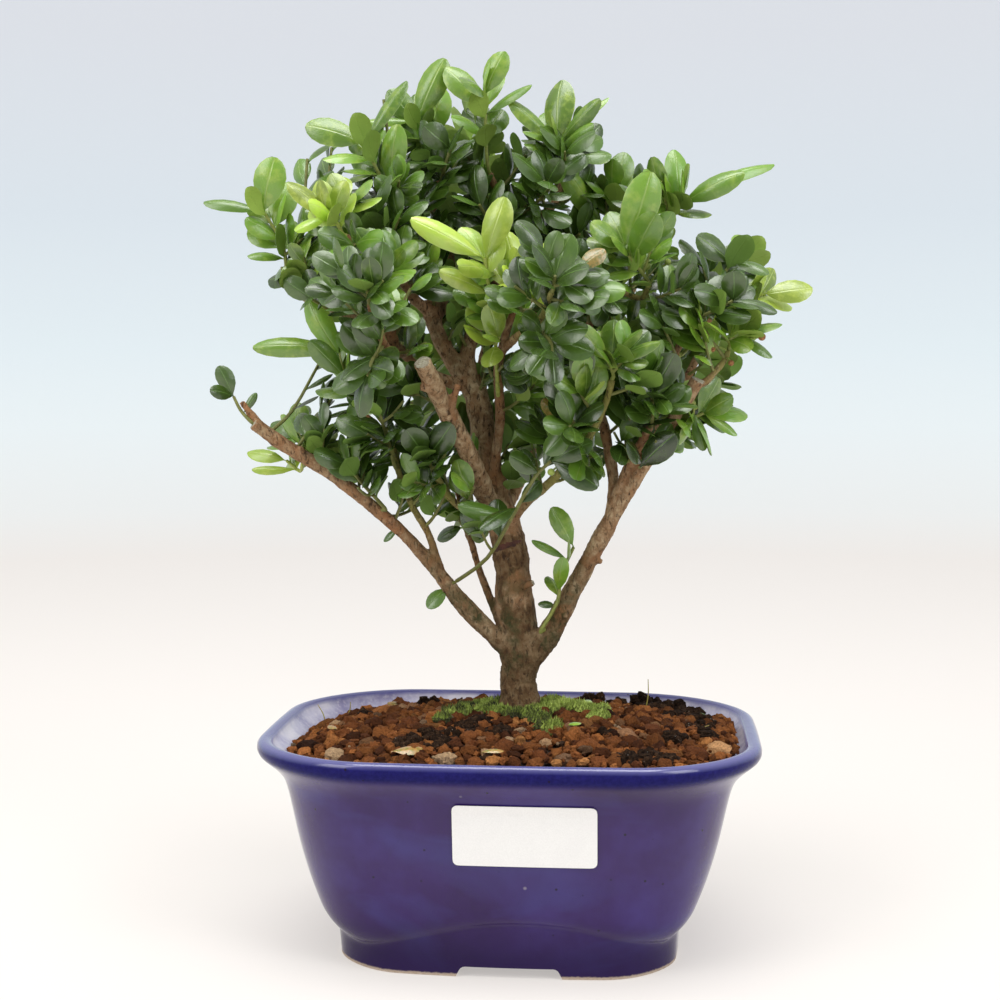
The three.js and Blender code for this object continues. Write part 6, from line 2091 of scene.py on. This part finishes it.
def make_foliage():
    rng = random.Random(83)
    canopy = Canopy()
    pattern = leaf_pattern()
    leaf_look = leaf_material()
    kit = pattern, leaf_look, stem_material()
    make_shoots(canopy, rng, kit)
    fill_limbs(canopy, rng, kit)
    make_fallen(pattern, leaf_look)
    bpy.data.objects.remove(pattern)
    make_berries(canopy)


def finish_spray(name, kit, leaves, twigs, age, rng, slot, *nodes):
    """One piece of all the leaves and twigs of a shoot or limb."""
    pattern, leaf_look, stem_look = kit
    blades = join([leaf_copy(pattern, leaf, tint, rng) for leaf, tint in leaves], name)
    smooth(blades, 50)
    dress(blades, leaf_look, stem_look)
    stems = []
    for path, thick, thin in twigs:
        last = len(path) - 1
        rows = [(*point, thick + (thin - thick) * i / last) for i, point in enumerate(path)]
        stem = tube(smooth_rows(rows, 3), 1)
        add_tint(stem, (min(1, 0.35 + age * 0.6), 0.5, 0))
        stems.append(stem)
    stem = join(stems, name + "_stem")
    smooth(stem, 60)
    dress(stem, stem_look)
    for face in stem.data.polygons:
        face.material_index = 0
    hand_over(join([blades, stem], name), slot, *nodes)


# Floor, light and camera.
SWEEP = [
    (0.9, 0.0), (1.2, 0.0), (1.45, 0.03), (1.62, 0.11), (1.74, 0.25), (1.8, 0.45), (1.82, 0.8),
    (1.82, 1.5),
]


def sweep_material():
    """A pale floor that turns a little bluer up the wall, and gives off some light of its own."""
    material, tree, shader = start_material("pale_sweep")
    colour = colour_ramp(tree, height_of(tree), (
        (0.0, (0.93, 0.885, 0.845)), (0.03, (0.92, 0.935, 0.925)), (0.12, (0.90, 0.965, 0.985)),
        (0.22, (0.84, 0.925, 0.965)), (0.40, (0.77, 0.84, 0.90)), (0.65, (0.78, 0.81, 0.865)),
        (1.0, (0.80, 0.82, 0.87))))
    feed(tree, shader.inputs["Base Color"],
         blend_colours(tree, 1.0, colour, (0.45, 0.45, 0.45), "MULTIPLY"))
    _, depth, height = axes_of(tree)
    # The wall before the pot gives off only a dim grey glow of its own, so the glaze mirrors something
    # dark there.
    before = times(tree, spread(tree, depth, -0.9, -0.3, 1.0, 0.0), spread(tree, height, 0.0, 0.1))
    feed(tree, shader.inputs["Emission Color"], blend_colours(tree, before, colour, (0.06, 0.06, 0.07)))
    shader.inputs["Emission Strength"].default_value = 0.5
    shader.inputs["Roughness"].default_value = 0.7
    shader.inputs["Specular IOR Level"].default_value = 0.1
    return material


def make_stage():
    """A round pale floor that curves up into a wall."""
    floor = add_shape(bpy.ops.mesh.primitive_circle_add, vertices=96, radius=SWEEP[0][0],
                      fill_type="NGON", location=(0, 0, -0.0002))
    floor.name = "studio_sweep"
    bpy.ops.object.mode_set(mode="EDIT")
    bpy.ops.mesh.select_mode(type="EDGE")
    bpy.ops.mesh.select_all(action="SELECT")
    for (reach, height), (far, higher) in zip(SWEEP[:-1], SWEEP[1:]):
        bpy.ops.mesh.extrude_edges_move(TRANSFORM_OT_translate={"value": (0, 0, higher - height)})
        bpy.ops.transform.resize(value=(far / reach, far / reach, 1))
    bpy.ops.mesh.select_all(action="SELECT")
    bpy.ops.mesh.normals_make_consistent(inside=True)
    bpy.ops.object.mode_set(mode="OBJECT")
    smooth(floor, 60)
    dress(floor, sweep_material())


def soft_light(name, place, target, width, tall, power, colour):
    light = bpy.data.lights.new(name, "AREA")
    light.shape = "RECTANGLE"
    light.size = width
    light.size_y = tall
    light.energy = power
    light.color = colour
    made = bpy.data.objects.new(name, light)
    made.location = place
    made.rotation_euler = (Vector(target) - Vector(place)).to_track_quat("-Z", "Y").to_euler()
    bpy.context.collection.objects.link(made)


def make_sky():
    """A soft even light from all round."""
    world = bpy.data.worlds.new("studio")
    world.use_nodes = True
    tree = world.node_tree
    tree.nodes.clear()
    glow = add_node(tree, "ShaderNodeBackground")
    glow.inputs["Color"].default_value = (0.99, 0.985, 0.97, 1)
    glow.inputs["Strength"].default_value = 0.7
    out = add_node(tree, "ShaderNodeOutputWorld")
    wire(tree, glow.outputs[0], out.inputs[0])
    bpy.context.scene.world = world


def make_light_and_camera():
    middle = at((0, 0, 130))
    soft_light("window_left", (-0.8, -0.8, 0.75), middle, 0.6, 0.8, 5.6, (1.0, 0.985, 0.96))
    soft_light("window_right", (0.9, -0.7, 0.7), middle, 0.5, 0.7, 5.6, (0.97, 0.98, 1.0))
    soft_light("above", (0.0, -0.3, 1.2), middle, 0.9, 0.7, 11, (1.0, 1.0, 0.98))
    lens = bpy.data.cameras.new("camera")
    lens.sensor_width = SENSOR
    lens.lens = CAMERA_FOCAL * SENSOR
    lens.clip_start = 0.01
    camera = bpy.data.objects.new("camera", lens)
    camera.location = at(EYE)
    camera.rotation_euler = (math.pi / 2 - CAMERA_PITCH, 0, CAMERA_YAW)
    bpy.context.collection.objects.link(camera)
    bpy.context.scene.camera = camera
    bpy.context.scene.view_settings.view_transform = "Standard"


def finish_hidden_nodes():
    """The solids that stay: the bed of soil and the drain meshes."""
    bed = plain_grained("soil_bed_look", (0.012, 0.009, 0.007), (0.060, 0.036, 0.022), 0.95, 700, 0.001)
    net = plain_grained("mesh_plastic_look", (0.010,) * 3, (0.030,) * 3, 0.6, 1500, 0.0001)
    dress_node("soil_bed", bed)
    dress_node("drain_mesh_left", net)
    dress_node("drain_mesh_right", net)


def dress_node(name, material):
    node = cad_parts[name]
    for seat in node.material_slots:
        seat.material = material


make_light_and_camera()
make_stage()
make_sky()
finish_hidden_nodes()
make_pot()
make_label()
make_soil_skin()
make_crumbs()
make_peat()
make_moss()
make_wood()
make_foliage()
